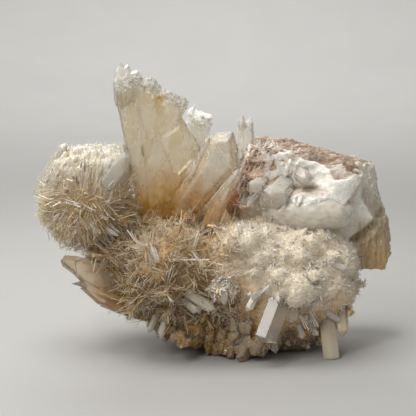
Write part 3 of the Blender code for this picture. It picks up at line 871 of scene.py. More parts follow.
def united(name, shapes, bevel):
    """One mesh from closed shapes that overlap, with its edges slightly worn."""
    item = linked(name, as_mesh(name, shapes[0]))
    others = shelf_of(name + "_other", [as_mesh(name, shape) for shape in shapes[1:]])
    if len(others.objects):
        union = item.modifiers.new("union", "BOOLEAN")
        union.operation = "UNION"
        union.operand_type = "COLLECTION"
        union.collection = others
        union.solver = "EXACT"
    worn = item.modifiers.new("worn", "BEVEL")
    worn.width = bevel
    worn.segments = 2
    worn.limit_method = "ANGLE"
    worn.angle_limit = math.radians(28)
    mesh = evaluated_mesh(item)
    clear_away(others)
    return mesh


def new_crystal(name, shapes, finish, slot, *nodes, bevel=0.35):
    """A piece of milky quartz, made of closed shapes that overlap."""
    new_piece(name, united(name, shapes, bevel), milky_material(finish), slot, *nodes)


def cut_level(shapes):
    """Cuts off what lies below the resting surface and closes the cuts."""
    for bm in shapes:
        everything = bm.verts[:] + bm.edges[:] + bm.faces[:]
        cut = bmesh.ops.bisect_plane(
            bm, geom=everything, plane_co=(0, 0, LOWEST), plane_no=(0, 0, -1), clear_outer=True
        )
        edges = [item for item in cut["geom_cut"] if isinstance(item, bmesh.types.BMEdge)]
        if edges:
            bmesh.ops.contextual_create(bm, geom=edges)
    return shapes


# Flat crystals: outline in the XZ plane, front, back, chamfer and rise, mm
TALL_SLABS = (
    (((-46, 60), (-47, 82), (-58, 144), (-62, 166), (-55, 170), (-49, 173), (-40, 170), (-29, 162),
        (-20, 158), (-13, 156), (-19.5, 144), (-12, 131), (-8, 119), (-18, 104), (-22, 90), (-22, 60)),
        0.5, 20.0, 2.4, 0.8),
    (((-45, 62), (-55, 138), (-58, 164), (-50, 168), (-43, 140), (-36, 62)), -0.2, 20.4, 1.6, 0.4),
    (((-37, 131), (-33.5, 137), (-19, 146), (-6.5, 126), (-8.5, 117), (-20, 104), (-28, 110)),
        -1.2, 12.0, 5.5, 0.3),
)
TIP_SLABS = (
    (((-58, 150), (-61, 152), (-62.5, 166), (-61, 173.5), (-58.8, 176.5), (-57, 180), (-55, 176.5),
        (-52.5, 178.4), (-50.5, 173.5), (-46.5, 174.5), (-43, 168), (-47, 158)), 9.0, 17.0, 0.8, 0.5),
    (((-57, 150), (-61.5, 156), (-62, 168), (-58, 172.5), (-55.5, 171), (-53, 174), (-48, 170),
        (-48, 156)), 4.0, 13.0, 1.2, 0.5),
)
LEANING_SLABS = (
    (((-27, 82), (-24, 98), (-6.6, 121), (-1, 135), (3, 137.5), (13.3, 138), (16.5, 128), (16.5, 116),
        (-1, 95), (-12, 82)), -16.5, -1.0, 5.0, 0.4),
)
LOWER_LEANING_SLABS = (
    (((-7, 80), (0, 97), (12.5, 113), (16, 116.5), (18.9, 114.5), (14, 105.5), (8, 90), (4, 80)),
        -24.0, -15.5, 2.4, 0.3),
)
UPPER_BLADE_SLABS = (
    (((-94.3, 58), (-91.5, 61.5), (-84, 61), (-67, 54), (-55.9, 46.5), (-42, 42), (-42, 28), (-54, 28.5),
        (-63, 31.5), (-70, 35), (-79, 42), (-87, 50), (-93, 54.5)), -21.5, -13.0, 2.2, 0.4),
    (((-85, 58.5), (-81.6, 60), (-62, 52), (-60, 44), (-69.5, 41), (-84, 49)), -25.0, -18.0, 1.2, 0.2),
    (((-88, 42.3), (-79, 45), (-68, 43), (-66, 36), (-79, 39)), -16.5, -9.0, 1.2, 0.2),
)
MIDDLE_BLADE_SLABS = (
    (((-81.5, 42.5), (-77, 44.5), (-60, 38), (-42, 33), (-42, 23), (-58, 27), (-71, 32.5)),
        -29.4, -22.0, 1.8, 0.3),
)
LOWER_BLADE_SLABS = (
    (((-70.5, 27.5), (-66, 31), (-50, 29.5), (-34, 27), (-34, 15.5), (-50, 19.5), (-60, 23)),
        -17.0, -6.0, 1.8, 0.3),
)
SHEAF_SLABS = (
    (((-112, 98), (-107.5, 110), (-99, 123), (-94, 130.5), (-89, 131), (-92, 112), (-100, 96)),
        -16.0, -4.0, 2.0, 0.5),
    (((-70, 108), (-62, 120), (-53.5, 128), (-50.5, 125), (-51.5, 115), (-62, 102)),
        -29.0, -21.0, 1.8, 0.3),
)
# base, tip, width, depth, taper, point, turn and ridge of each prism, mm and degrees
COMPANION_PRISMS = (
    ((-14.3, 32, 72), (-5.8, 30, 147), 15, 13, 1.15, 0.35, 0, 0.3),
    ((-18.3, 31, 80), (-11.3, 30, 152), 8, 8, 0.9, 1.4, 0, 0.2),
)
RIM_PRISMS = (
    ((-14, -13, 108), (-1.2, -15.2, 136), 4.5, 4, 1.0, 1.4, 10, 0.2),
)
PALE_TIP_PRISMS = (
    ((21.7, 7, 104), (18.6, 7, 147.3), 7, 7, 0.85, 1.2, 0, 0.2),
    ((22.7, 8, 104), (24.0, 8, 145.3), 7, 8, 0.9, 1.0, 30, 0.2),
)
PALE_TIP_SLABS = (
    (((15.5, 106), (15, 130), (17.5, 142), (20.5, 139), (23, 142.5), (27, 136), (26, 106)),
        5.0, 12.0, 1.5, 0.3),
)
FRONT_POINT_PRISMS = (
    ((50, -35, 58), (31.5, -53.5, 14.6), 18.5, 11, 0.94, 0.32, 8, 0.1),
    ((57, -34, 56), (47.5, -47.5, 25), 10, 8, 0.9, 0.6, 20, 0.1),
    ((37, -36, 24), (39, -44.5, 5.6), 6, 5, 0.95, 0.8, 10, 0.1),
)
RIGHT_FOOT_PRISMS = (
    ((69.7, -19, 42), (74.7, -36, -4), 13, 8, 1.0, 0.6, 0, 0.1),
    ((79.7, -19, 40), (81.7, -31, 12), 9, 8, 0.95, 1.0, 30, 0.1),
)
BLOCK_PRISMS = (
    ((47, -2, 104), (37, -28.5, 99), 20.5, 19, 0.9, 0.45, 8, 0.2),
    ((34, -2, 106), (26.5, -24, 106), 10.5, 10.5, 1.0, 0.25, 30, 0.1),
    ((54, -2, 112), (58, -22, 111), 12.5, 11, 0.8, 0.5, 0, 0.3),
    ((30, -2, 98), (22, -16, 92), 8, 7, 0.8, 0.9, 0, 0.3),
)
# Crystals on the front of the bed: foot and tip in the XZ plane, width, depth, point and turn
PALE_CRYSTALS = (
    ((7, 51), (6.5, 37.5), 8, 6, 0.9, 0), ((10, 51), (13, 40), 6, 5, 0.9, 20),
    ((4, 50), (-0.5, 40.5), 6, 5, 0.9, 10), ((-15, 43), (2, 33.5), 8, 6, 0.8, 30),
    ((-18, 38), (-8, 31), 6, 5, 0.7, 0), ((27, 43), (21.5, 33), 6.5, 5, 0.8, 0),
    ((31, 46), (24, 41), 5, 5, 0.8, 30), ((-34, 28), (-39, 15), 5, 4, 1.2, 0),
    ((-28, 26), (-32, 13.5), 5, 4, 1.2, 30), ((53.5, 21), (57, 12), 5, 4, 0.8, 0),
    ((60, 22), (66, 13), 5, 4, 0.9, 20), ((70, 30), (80, 22), 5, 5, 0.8, 0),
    ((72, 60), (84, 56), 5, 4, 1.2, 0), ((18, 80), (16, 87), 4, 4, 1.0, 0),
)
# White clusters on the front of the bed: place in the XZ plane, radius, number, width and length
WHITE_CLUSTERS = (
    (7, 52, 5, 60, 1.7, 5), (1, 46, 3, 20, 1.7, 5), (13, 47, 3, 20, 1.7, 5), (-8, 36, 4, 12, 2.0, 6),
    (26, 41, 4, 12, 2.0, 6),
)
# Translucent lumps round the foot of the bed: place in the XZ plane and radius
FOOT_LUMPS = (
    (-28.9, 24.5, 3), (-24.5, 18.7, 3.5), (-18.4, 14.9, 4), (-12.8, 20, 3.5), (-8.4, 11.7, 5),
    (-2.9, 17.4, 5), (0.9, 8.5, 6), (7.7, 14.9, 5.5), (10.8, 7.2, 6), (16.4, 14.9, 5), (19.5, 6.5, 5.5),
    (25.7, 11.7, 5), (2.7, 23.2, 4), (12.6, 22, 4), (21.3, 22, 4), (-5.3, 25.8, 3.5), (31.2, 7.8, 4.5),
    (39.3, 11.7, 4), (30, 19, 4),
)
# Where needles leave room for these crystals and clusters: middle in the XZ plane and radius, mm
CLEARINGS = ((6, 46, 6), (-8, 36, 4), (26, 40, 4))
# Swells of the bed's front: place in the XZ plane, half sizes and height, mm
SWELLS = (
    ((53, 70), (13, 10), 4), ((67, 72), (12, 8), 3.5), ((59, 46), (21, 11), 7), ((31, 62), (9, 8), 3.5),
    ((79, 60), (9, 11), 3), ((39, 54), (8, 7), 3.5), ((20, 74), (12, 9), 4), ((8, 47), (8, 10), 4),
    ((-20, 66), (18, 14), 3), ((-6, 80), (12, 9), 3),
)
# Where the tall crystal and its companion broke: lines along their tops
CREST_LINE = (
    (-58, 10, 169), (-49, 10, 172), (-40, 10, 169.5), (-29, 10, 162), (-20, 10, 158), (-14, 10, 156),
)
COMPANION_LINE = (
    (-17, 30, 143), (-12, 30, 146), (-7, 30, 145), (-3, 30, 141),
)
# Long needles of the sheaf, then of the bed, coloured near white both as milky quartz and as painted
# glints: first end and last end in the XZ plane, width
SHEAF_GLINT_NEEDLES = (
    ((-65.7, 80), (-57.5, 74.4), 1.2), ((-64.4, 81.9), (-56.9, 76.9), 1.1),
    ((-62.6, 80.6), (-58.2, 75.1), 1.1), ((-67.5, 73.9), (-61.9, 68.3), 1.3),
    ((-69.4, 72), (-64.4, 66.5), 1.2), ((-75, 81.9), (-69.9, 75.1), 1.0),
    ((-73.8, 83.1), (-68, 76.3), 1.0), ((-90, 97.2), (-79.3, 94.9), 1.1),
    ((-93.1, 90.5), (-96.6, 86.9), 1.0), ((-78.1, 95.4), (-70.5, 92.4), 1.0),
    ((-81.9, 84.9), (-83.6, 77.6), 1.0), ((-70.6, 89.2), (-63.6, 85.6), 1.0),
)
GLINT_NEEDLES = (
    ((-13, 65.6), (-7.8, 82.3), 1.2), ((-23.3, 64.7), (-1, 65), 1.0), ((-33.5, 63), (-39.5, 74.6), 1.7),
    ((-31.5, 64), (-37.5, 75.6), 1.5), ((-11.8, 84), (-23.1, 97), 1.2), ((-13, 82), (-20.5, 98), 1.0),
    ((-10, 84.5), (-25, 94), 1.1), ((-25, 92), (-23, 109), 1.5), ((28, 42.5), (34.5, 50.5), 1.3),
    ((19, 55.5), (25.5, 60), 0.9), ((43, 65.5), (48.5, 69.3), 0.8), ((-27, 50), (-24, 62), 1.0),
    ((-45, 70), (-52, 80), 1.2), ((55, 28), (60, 18), 1.4), ((60, 32), (66, 20), 1.2),
    ((0, 92), (8, 104), 1.0), ((-5, 60), (-12, 70), 0.9),
)


def prisms(values, seed):
    rng = random.Random(seed)
    return [uneven_prism(*row, rng) for row in values]


def slabs(values):
    return [slab(*row) for row in values]


def broken_top(mesh, line, radius):
    """A closed crystal whose top broke unevenly along a line, as a bmesh."""
    bm = evened(mesh, facet=0.6, rounds=0)
    points = [Vector(point) for point in line]
    points = [first.lerp(last, part / 4) for first, last in zip(points, points[1:]) for part in range(5)]
    moves = []
    for vertex in bm.verts:
        away = min(math.hypot(vertex.co.x - point.x, vertex.co.z - point.z) for point in points)
        near = 1 - share_of(away, radius * 0.5, radius)
        height = 1.2 * broken_height(vertex.co, 4.5) + 1.0 * broken_height(vertex.co, 1.8) - 0.5
        moves.append(vertex.normal * near * height)
    for vertex, move in zip(bm.verts, moves):
        vertex.co += move
    return bm


# Forms of the repeated crystals: sides, taper, height of the point and how far it is off the middle
STUBBY = ((6, 0.9, 0.4, 0.2), (6, 0.8, 0.5, -0.4), (5, 0.95, 0.25, 0.5))
LONG = ((4, 0.85, 0.06, 0.3), (4, 0.9, 0.04, -0.5), (3, 0.75, 0.1, 0.0))
SPIKY = ((4, 0.85, 0.4, 0.2), (4, 0.75, 0.5, -0.4), (3, 0.9, 0.3, 0.3))
FINE = ((3, 0.8, 0.12, 0.2), (3, 0.6, 0.2, -0.3), (3, 0.7, 0.1, 0.0))


def sheaf_mass():
    """The rounded mass under the sheaf's needles: full and flat on top, where it leans to the right."""
    bm = front_lump((0, 0, 0), (1, 1, 1), grain=2.5, height=0.04, rounds=6)
    for vertex in bm.verts:
        x, y, z = vertex.co
        power = 2 + 2.2 * share_of(z, -0.1, 0.4)
        full = vertex.co.length / sum(abs(value) ** power for value in (x, y, z)) ** (1 / power)
        high = SHEAF_UP if z > 0 else SHEAF_DOWN
        vertex.co = SHEAF_CENTRE + Vector((x * SHEAF_WIDE, y * SHEAF_DEEP, z * high)) * full
        vertex.co.x += 0.26 * max(0.0, vertex.co.z - SHEAF_SHOULDER)
    bm.normal_update()
    for vertex in bm.verts:
        x, y, z = vertex.co
        across = Vector((0.97 * x - 0.24 * z, y, 0.05 * z))
        upper = share_of(z, 96, 108)
        ridge = noise.noise(across * 0.75) + 0.6 * noise.noise(across * 1.7)
        step = noise.cell(Vector((across.x * 0.35, across.y * 0.35, 0))) - 0.5
        vertex.co += vertex.normal * ridge * 0.8 * upper
        vertex.co.z += 2.4 * step * share_of(z, 120, 126)
    bm.normal_update()
    return bm


def sheaf_needles(grounds, rng):
    """Bundles of needles that spread from the heart of the sheaf, mostly along its surface."""
    sprouts = Sprouts(obstacle(["needle_bed", "tall_crystal", "upper_blade"]), rng)
    length = chosen_size("sheaf_needle_length")
    for _ in range(TRIES["sheaf_needles"]):
        surface, out = (grounds[0] if rng.random() < 0.75 else grounds[1]).place()
        radial = surface - SHEAF_HEART
        if surface.z > SHEAF_SHOULDER + abs(rng.gauss(0, 7)) or radial.length < 4:
            continue
        spread = 0.45 + 1.4 * max(0.0, 1 - math.hypot(radial.x, radial.z) / 22)
        flat = (radial - out * radial.dot(out) * 0.8).normalized()
        bundle = lean(flat, abs(rng.gauss(spread * 0.6, 0.3)), rng)
        reach = length * rng.uniform(0.35, 1.0)
        for _ in range(rng.randrange(2, 6)):
            foot = surface + Vector([rng.gauss(0, 1.5) for _ in range(3)]) - bundle * reach * 0.35
            needle = lean(bundle, abs(rng.gauss(0, 0.1)), rng)
            bright = rng.random() ** 3
            width = rng.choice((0.35, 0.45, 0.55, 0.7)) * (1 + 0.5 * bright)
            sprouts.add(foot, needle, width, reach * rng.uniform(0.6, 1.15), bright, rng.randrange(3), 4.0)
    return sprouts


def sheaf_columns(ground, rng):
    """Fine upright columns along the upper part of the sheaf, and their broken ends on its top."""
    sprouts = Sprouts(obstacle(["tall_crystal"]), rng)
    places, leans = (-104, -84, -74, -66, -57), (28, 14, 8, 10, 22)
    for _ in range(TRIES["sheaf_columns"]):
        spot, out = ground.place()
        if spot.z < SHEAF_SHOULDER + abs(rng.gauss(0, 6)):
            continue
        angle = math.radians(float(np.interp(spot.x, places, leans)) + rng.gauss(0, 4))
        way = Vector((math.sin(angle), rng.gauss(0, 0.05), math.cos(angle)))
        width = rng.choice((0.3, 0.4, 0.5, 0.8))
        if out.z > 0.6:
            length = rng.uniform(2.5, 5.5)
            foot = spot - way * (length - rng.uniform(0.0, 0.7))
        else:
            way = (way - out * way.dot(out) * 0.97).normalized()
            length = rng.uniform(5, 14)
            foot = spot - way * length * 0.5 - out * 0.12
            if (foot + way * length).z > SHEAF_TOP:
                continue
        sprouts.add(foot, way, width, length, rng.random(), rng.randrange(3))
    return sprouts


def bed_needles(ground, others, rng):
    """A mat of long fine needles that lie every way over the left half of the bed."""
    sprouts = Sprouts(others, rng)
    length, wide = chosen_size("needle_length"), chosen_size("needle_width")
    for _ in range(TRIES["bed_needles"]):
        spot, out = ground.place()
        if spot.z < 26 + rng.gauss(0, 4) or rng.random() > (22 - spot.x) / 26:
            continue
        way = Vector([rng.gauss(0, 1) for _ in range(3)]).normalized()
        way = (way - out * way.dot(out) + out * rng.uniform(0.0, 0.9)).normalized()
        reach = length * rng.uniform(0.4, 1.2) + 2
        for _ in range(rng.choice((1, 1, 2, 4))):
            foot = spot + Vector([rng.gauss(0, 1.0) for _ in range(3)]) - out * rng.uniform(0.3, 1.6)
            width = wide * rng.choice((0.45, 0.5, 0.6, 0.9)) * rng.uniform(0.85, 1.15)
            needle = lean(way, abs(rng.gauss(0, 0.12)), rng)
            long, tone = reach * rng.uniform(0.7, 1.1), 0.7 * rng.random() ** 2
            sprouts.add(foot, needle, width, long, tone, rng.randrange(3), 3.5)
    return sprouts


def bed_points(ground, others, rng):
    """Small pale points over the right half and the foot of the bed, some of them in rosettes."""
    sprouts = Sprouts(others, rng)
    length, wide = chosen_size("point_length"), chosen_size("point_width")
    for _ in range(TRIES["bed_points"]):
        spot, out = ground.place()
        if rng.random() > (spot.x / 20 + 0.12 if spot.z > 24 else 0.25):
            continue
        spiky = share_of(noise.noise(spot * 0.07 + Vector((3, 5, 7))), -0.1, 0.2)
        size = rng.choice((0.35, 0.5, 0.65, 1.1)) * (0.7 + 0.5 * spiky)
        for _ in range(rng.choice((1, 1, 1, 6))):
            way = lean(out, abs(rng.gauss(0, 0.7)), rng)
            width = wide * size * rng.uniform(0.4, 1.1)
            reach = length * size * rng.uniform(0.7, 1.5)
            sprouts.add(spot - out * 0.9, way, width, reach, rng.uniform(0.4, 1), rng.randrange(3), 2.0)
    return sprouts


def fuzz(ground, others, count, rng, low=-200, high=200, top=200, bottom=-200):
    """Very fine short needles over a surface, between two places along X and two heights."""
    sprouts = Sprouts(others, rng)
    for _ in range(count):
        spot, out = ground.place()
        if low < spot.x + rng.gauss(0, 5) < high and bottom < spot.z + rng.gauss(0, 5) < top:
            way = lean(out, min(1.4, abs(rng.gauss(0, 0.7))), rng)
            width, long, tone = rng.uniform(0.3, 0.6), rng.uniform(1.8, 4.2), rng.random() * 0.6
            sprouts.add(spot - out * 0.8, way, width, long, tone, rng.randrange(3), 1.2)
    return sprouts


def bright_needles(rows, surface, rng):
    """Long needles whose near white colour is partly their own milky white and partly a painted glint,
    laid on what their places show from the front.
    """
    sprouts = Sprouts(None, rng)
    for first, last, width in rows:
        ends = []
        for (x, z), proud in ((first, 0.5), (last, 4.5)):
            hit = seen_at(surface, x, z)[0]
            ends.append(None if hit is None else Vector((x, hit.y - proud, z)))
        if ends[0] is None:
            continue
        tip = ends[1] or Vector((last[0], ends[0].y - 1, last[1]))
        tip.y = min(max(tip.y, ends[0].y - 6), ends[0].y + 1)
        for share in (1.0, 0.75, 0.6, 0.5):
            aside = Vector([rng.gauss(0, 2.2 * (1 - share)) for _ in range(3)])
            way = lean((tip - ends[0]).normalized(), rng.uniform(0, 0.5 * (1 - share)), rng)
            reach = (tip - ends[0]).length * (0.4 + 0.6 * share)
            wide, tone = width * share * 0.8, 0.5 + 0.5 * share
            sprouts.add(ends[0] + aside, way, wide, reach, tone, rng.randrange(2))
    return sprouts


def bed_stubs(ground, others, rng):
    """Stout pale crystals, side by side round the foot of the bed."""
    sprouts = Sprouts(others, rng)
    for _ in range(TRIES["bed_stubs"]):
        spot, out = ground.place()
        if spot.z > 26 + rng.gauss(0, 5):
            continue
        way = lean(out + Vector((0, 0, -0.35)), abs(rng.gauss(0, 0.3)), rng)
        width = rng.choice((3, 4.5, 6, 8, 10)) * rng.uniform(0.8, 1.2)
        reach = 4 + width * rng.uniform(0.2, 0.6)
        sprouts.add(spot - out * 3, way, width, reach, rng.random(), rng.randrange(3), 3.5, width * 0.6)
    return sprouts


def druse(bm, spacing, height, sink):
    """Covers a closed surface in small packed points, never below the resting surface."""
    for vertex in bm.verts:
        near = noise.voronoi(vertex.co / spacing)[0][0]
        vertex.co += vertex.normal * (max(0.0, 0.75 - near) * height - sink)
        vertex.co.z = max(vertex.co.z, LOWEST)


def hummocks(bm):
    """Gives the bed wide hummocks, smaller ones over its right half, and the swells of its front."""
    for vertex in bm.verts:
        swell = noise.noise(vertex.co * 0.04) * 5.0
        swell += noise.noise(vertex.co * 0.1) * 2.5 * share_of(vertex.co.x, 0, 20)
        for (x, z), (wide, high), height in SWELLS:
            away = math.hypot((vertex.co.x - x) / wide, (vertex.co.z - z) / high)
            if away < 1 and vertex.normal.y < 0:
                swell += height * (1 - away ** 2.5) * min(1.0, -2 * vertex.normal.y)
        vertex.co += vertex.normal * swell
        vertex.co.z = max(vertex.co.z, LOWEST)
    bm.normal_update()


def crystals_on(surface, values):
    """Crystals with their feet in the front surface of the bed."""
    rng = random.Random(SEED + 20)
    rows = []
    for first, last, width, depth, point, turn in values:
        hits = [seen_at(surface, x, z)[0] for x, z in (first, last)]
        if hits[0] is None:
            continue
        foot = hits[0] + Vector((0, 1, 0))
        front = hits[0].y + 2 if hits[1] is None else hits[1].y - 5
        tip = Vector((last[0], min(max(front, hits[0].y - 8), hits[0].y + 7), last[1]))
        rows.append((foot, tip, width, depth, 0.95, point, turn, 0.1))
    return [uneven_prism(*row, rng) for row in rows]


def clusters_on(surface, values, rng):
    """Clusters of crystals that point every way out of the front surface of the bed."""
    sprouts = Sprouts(None, rng)
    for x, z, radius, count, wide, long in values:
        for _ in range(count):
            spread = radius / 2
            spot, out = seen_at(surface, x + rng.gauss(0, spread), z + rng.gauss(0, spread))
            if spot is None:
                continue
            way = lean(out + Vector((0, 0, -0.35)), min(1.2, abs(rng.gauss(0, 0.6))), rng)
            width, reach = wide * rng.uniform(0.4, 1.2), long * rng.uniform(0.4, 1.0) + 1
            sprouts.add(spot - out, way, width, reach, rng.random(), rng.randrange(3))
    return sprouts


def lumps_on(surface, values):
    """Rough lumps half sunk in the surface of the bed, grown together as one closed bmesh."""
    joined = bmesh.new()
    for x, z, radius in values:
        spot = seen_at(surface, x, z)[0]
        if spot is not None:
            lump = front_lump(spot, (radius, radius, radius * 1.1), grain=1.5, height=0.2, rounds=3)
            joined.from_mesh(as_mesh("lump", lump))
    bm = evened(as_mesh("foot_lumps", joined), facet=0.6, rounds=0)
    for vertex in bm.verts:
        place = vertex.co.copy()
        upright = Vector((place.x, place.y, place.z * 0.6))
        height = 1.3 * broken_height(upright, 6.5) + 0.9 * broken_height(upright, 3.0)
        vertex.co += vertex.normal * height
        vertex.co.z = max(vertex.co.z, LOWEST)
    return bm


def ledge(value, height):
    """A height that climbs in steps with short risers."""
    whole = math.floor(value / height)
    part = value / height - whole
    return (whole + min(1.0, max(0.0, (part - 0.35) / 0.3))) * height


def share_of(value, low, high):
    """How far a value has come from low to high, from 0 to 1."""
    return min(1.0, max(0.0, (value - low) / (high - low)))


def block_mesh():
    """The broken block: ledges on top, pits and a groove on its front, furrows on its side and back."""
    bm = even_copy("matrix_block", facet=0.9, rounds=2)
    step = chosen_size("ledge_height")
    tops, sides, pits = [], [], []
    for vertex in bm.verts:
        place, out = vertex.co.copy(), vertex.normal.copy()
        top = share_of(out.z, 0.4, 0.65) * share_of(place.z, 98, 106)
        edge = 0.6 * noise.noise(place * 0.12) + 0.4 * noise.noise(place * 0.35)
        front = share_of(-out.y, 0.25, 0.55) * (1 - top)
        # The furrowed break: the right side, the lower right of the front, and the back
        lower = 0.3 + 0.7 * share_of(108 - place.z + 8 * edge, 0, 30)
        side = share_of(out.x + edge * 0.3, 0.45, 0.7) * (1 - top) * lower
        side = max(side, share_of(place.x + edge * 4, 88, 96) * share_of(84 - place.z, 0, 8))
        side = max(side, share_of(out.y + edge * 0.3, 0.3, 0.6) * (1 - top))
        # Pits at the upper left of the front, and the facets that it broke in
        holed = share_of(58 - place.x, 0, 14) * share_of(place.z, 92, 100)
        hole = noise.noise(place * 0.2) + 0.5 * noise.noise(place * 0.45)
        pit = share_of(hole + 0.2 * share_of(46 - place.x, 0, 20), 0.06, 0.24) * front * holed
        rough = noise.turbulence(place * 0.3, 4, False) - 0.5
        facet = 0.35 * broken_height(place, 6.5) + 0.5 * broken_height(place, 2.4)
        smooth = share_of(place.x, 66, 76) * front
        move = rough * 0.6 * (1.4 - smooth) + facet * front * (1 - smooth * 0.7) - 0.4 - pit * 3.0
        if top:
            height = 2.5 * noise.noise(Vector((place.x * 0.03, place.y * 0.12, 3.0)))
            height += 1.6 * noise.noise(Vector((place.x * 0.14, place.y * 0.3, 9.0)))
            move += top * (ledge(height, step) - 1.0)
        furrow = noise.noise(Vector((place.x * 0.45, place.y * 0.45, place.z * 0.05)))
        move += side * furrow * 1.4
        # A groove that slants across the right end of the front
        groove = abs((place.z - 62) * 0.75 - (place.x - 84) * 0.6)
        move -= share_of(4.0 - groove, 0, 3.0) * front * share_of(place.x, 84, 88) * 4.5
        tops.append(top)
        sides.append(max(side, share_of(4.0 - groove, 0, 2) * front * share_of(place.x, 84, 88)))
        pits.append(pit * (0.25 + 0.5 * share_of(42 - place.x, 0, 14)))
        vertex.co = place + out * move
    mesh = as_mesh("block", bm)
    for label, values in (("rind", tops), ("side", sides), ("pit", pits)):
        mesh.attributes.new(label, "FLOAT", "POINT").data.foreach_set("value", values)
    return mesh


def pit_needles(mesh, rng):
    """Thin needles that cross the pits of the block's front every way."""
    sprouts = Sprouts(None, rng)
    bm = as_bmesh(mesh)
    layer = bm.verts.layers.float["pit"]
    spots = [vertex for vertex in bm.verts if vertex[layer] > 0.1 and vertex.normal.y < 0]
    for vertex in rng.sample(spots, min(len(spots), 4200)):
        way = lean(vertex.normal.normalized(), rng.uniform(0.8, 1.5), rng)
        foot = vertex.co - vertex.normal * 0.6
        reach = rng.uniform(3.0, 7.5)
        sprouts.add(foot, way, rng.uniform(0.35, 0.8), reach, rng.random(), rng.randrange(3))
    bm.free()
    return sprouts


def front_lump(centre, radii, grain, height, rounds=5):
    """A smooth closed lump. Grain is how fine its swells are, and height their share of its size."""
    bm = bmesh.new()
    bmesh.ops.create_icosphere(bm, subdivisions=rounds, radius=1.0)
    for vertex in bm.verts:
        out = vertex.co.normalized()
        swell = 1 + height * noise.noise(out * grain + Vector(centre))
        swell += height * 0.4 * noise.noise(out * grain * 3)
        vertex.co = Vector(centre) + Vector(a * b for a, b in zip(out, radii)) * swell
    return bm


def block_crust(mesh, rng):
    """Small crisp crystals over the left part of the block's front."""
    sprouts = Sprouts(None, rng)
    bm = as_bmesh(mesh)
    pits, tops = bm.verts.layers.float["pit"], bm.verts.layers.float["rind"]
    spots = [
        vertex for vertex in bm.verts
        if vertex.normal.y < -0.2 and vertex.co.x < 72 + rng.gauss(0, 6) and vertex.co.z > 80
        and vertex[pits] < 0.4 and vertex[tops] < 0.1 and (vertex.co - RUSTY_PLACE).length > RUSTY_REACH
    ]
    for vertex in rng.sample(spots, min(len(spots), 60)):
        way = lean(vertex.normal.normalized(), abs(rng.gauss(0, 0.8)), rng)
        width = rng.choice((1.0, 1.6, 2.4, 3.2)) * rng.uniform(0.8, 1.2)
        reach = width * rng.uniform(0.9, 2.0)
        sprouts.add(vertex.co - vertex.normal * 0.5, way, width, reach, rng.random(), rng.randrange(3))
    bm.free()
    return sprouts


class QUARTZ_OT_block(bpy.types.Operator):
    """Break the block: its front, rind, side and back, with the crystals and needles on its front"""

    bl_idname = "quartz.block"
    bl_label = "Massive block"

    def execute(self, context):
        rng = random.Random(SEED)
        mesh = block_mesh()
        needles = pit_needles(mesh, rng)
        crust = block_crust(mesh, rng)
        shade_smooth(new_piece("massive_block", mesh, block_material(), "massive_quartz", "matrix_block"))
        grow(needles, LONG, "pit_needles", "pit_needle_quartz", "massive_quartz")
        grow(crust, STUBBY, "block_crust", "crust_quartz", "massive_quartz")
        rusty = core_material("rusty_quartz", srgb(100, 56, 8), stain=0.0)
        hollow = front_lump((13.5, -4, 93), (4.5, 5.5, 9.5), grain=2.0, height=0.2)
        new_piece("rusty_hollow", as_mesh("rusty_hollow", hollow), rusty, "massive_quartz")
        new_crystal("block_crystals", prisms(BLOCK_PRISMS, SEED + 12), "grey_quartz", "massive_quartz")
        return {"FINISHED"}


class QUARTZ_OT_lumps(bpy.types.Operator):
    """Swell the smooth lump on the front of the block"""

    bl_idname = "quartz.lumps"
    bl_label = "Smooth lump"

    def execute(self, context):
        material = milky_material("lump_quartz")
        bm = front_lump((62, -13, 88), (27, 13.2, 12.5), grain=1.6, height=0.1)
        for vertex in bm.verts:
            vertex.co.y += 0.3 * broken_height(vertex.co, 5.0)
        shade_smooth(new_piece("smooth_lump", as_mesh("smooth_lump", bm), material, "massive_quartz"))
        return {"FINISHED"}


class QUARTZ_OT_tall(bpy.types.Operator):
    """Grow the tall crystal, broken along its top, and its clear tip"""

    bl_idname = "quartz.tall"
    bl_label = "Tall crystal"

    def execute(self, context):
        bm = broken_top(united("tall_slabs", slabs(TALL_SLABS), 0.35), CREST_LINE, radius=8)
        body = as_mesh("tall_slabs", bm)
        new_piece("tall_slabs", body, tall_material(), "milky_quartz", "tall_crystal")
        new_crystal("tall_tip", slabs(TIP_SLABS), "tip_quartz", "clear_quartz")
        return {"FINISHED"}


class QUARTZ_OT_companion(bpy.types.Operator):
    """Grow the crystal behind the tall one"""

    bl_idname = "quartz.companion"
    bl_label = "Companion crystal"

    def execute(self, context):
        mesh = united("companion", prisms(COMPANION_PRISMS, SEED + 1), 0.35)
        mesh = as_mesh("companion", broken_top(mesh, COMPANION_LINE, radius=9))
        material = milky_material("companion_quartz")
        new_piece("companion_prisms", mesh, material, "clear_quartz", "companion_crystal")
        return {"FINISHED"}


class QUARTZ_OT_leaning(bpy.types.Operator):
    """Grow the crystals that lean to the right and the clear tips behind them"""

    bl_idname = "quartz.leaning"
    bl_label = "Leaning crystals"

    def execute(self, context):
        for name, shapes, finish, slot, node, bevel in (
            (
                "leaning_slabs", slabs(LEANING_SLABS) + prisms(RIM_PRISMS, SEED + 2),
                "leaning_quartz", "milky_quartz", "leaning_crystal", 0.35,
            ),
            (
                "lower_leaning_slab", slabs(LOWER_LEANING_SLABS),
                "leaning_quartz", "milky_quartz", "lower_leaning_crystal", 0.35,
            ),
            (
                "pale_tips", slabs(PALE_TIP_SLABS) + prisms(PALE_TIP_PRISMS, SEED + 4),
                "pale_quartz", "clear_quartz", "pale_tip_crystals", 0.25,
            ),
        ):
            new_crystal(name, shapes, finish, slot, node, bevel=bevel)
        return {"FINISHED"}


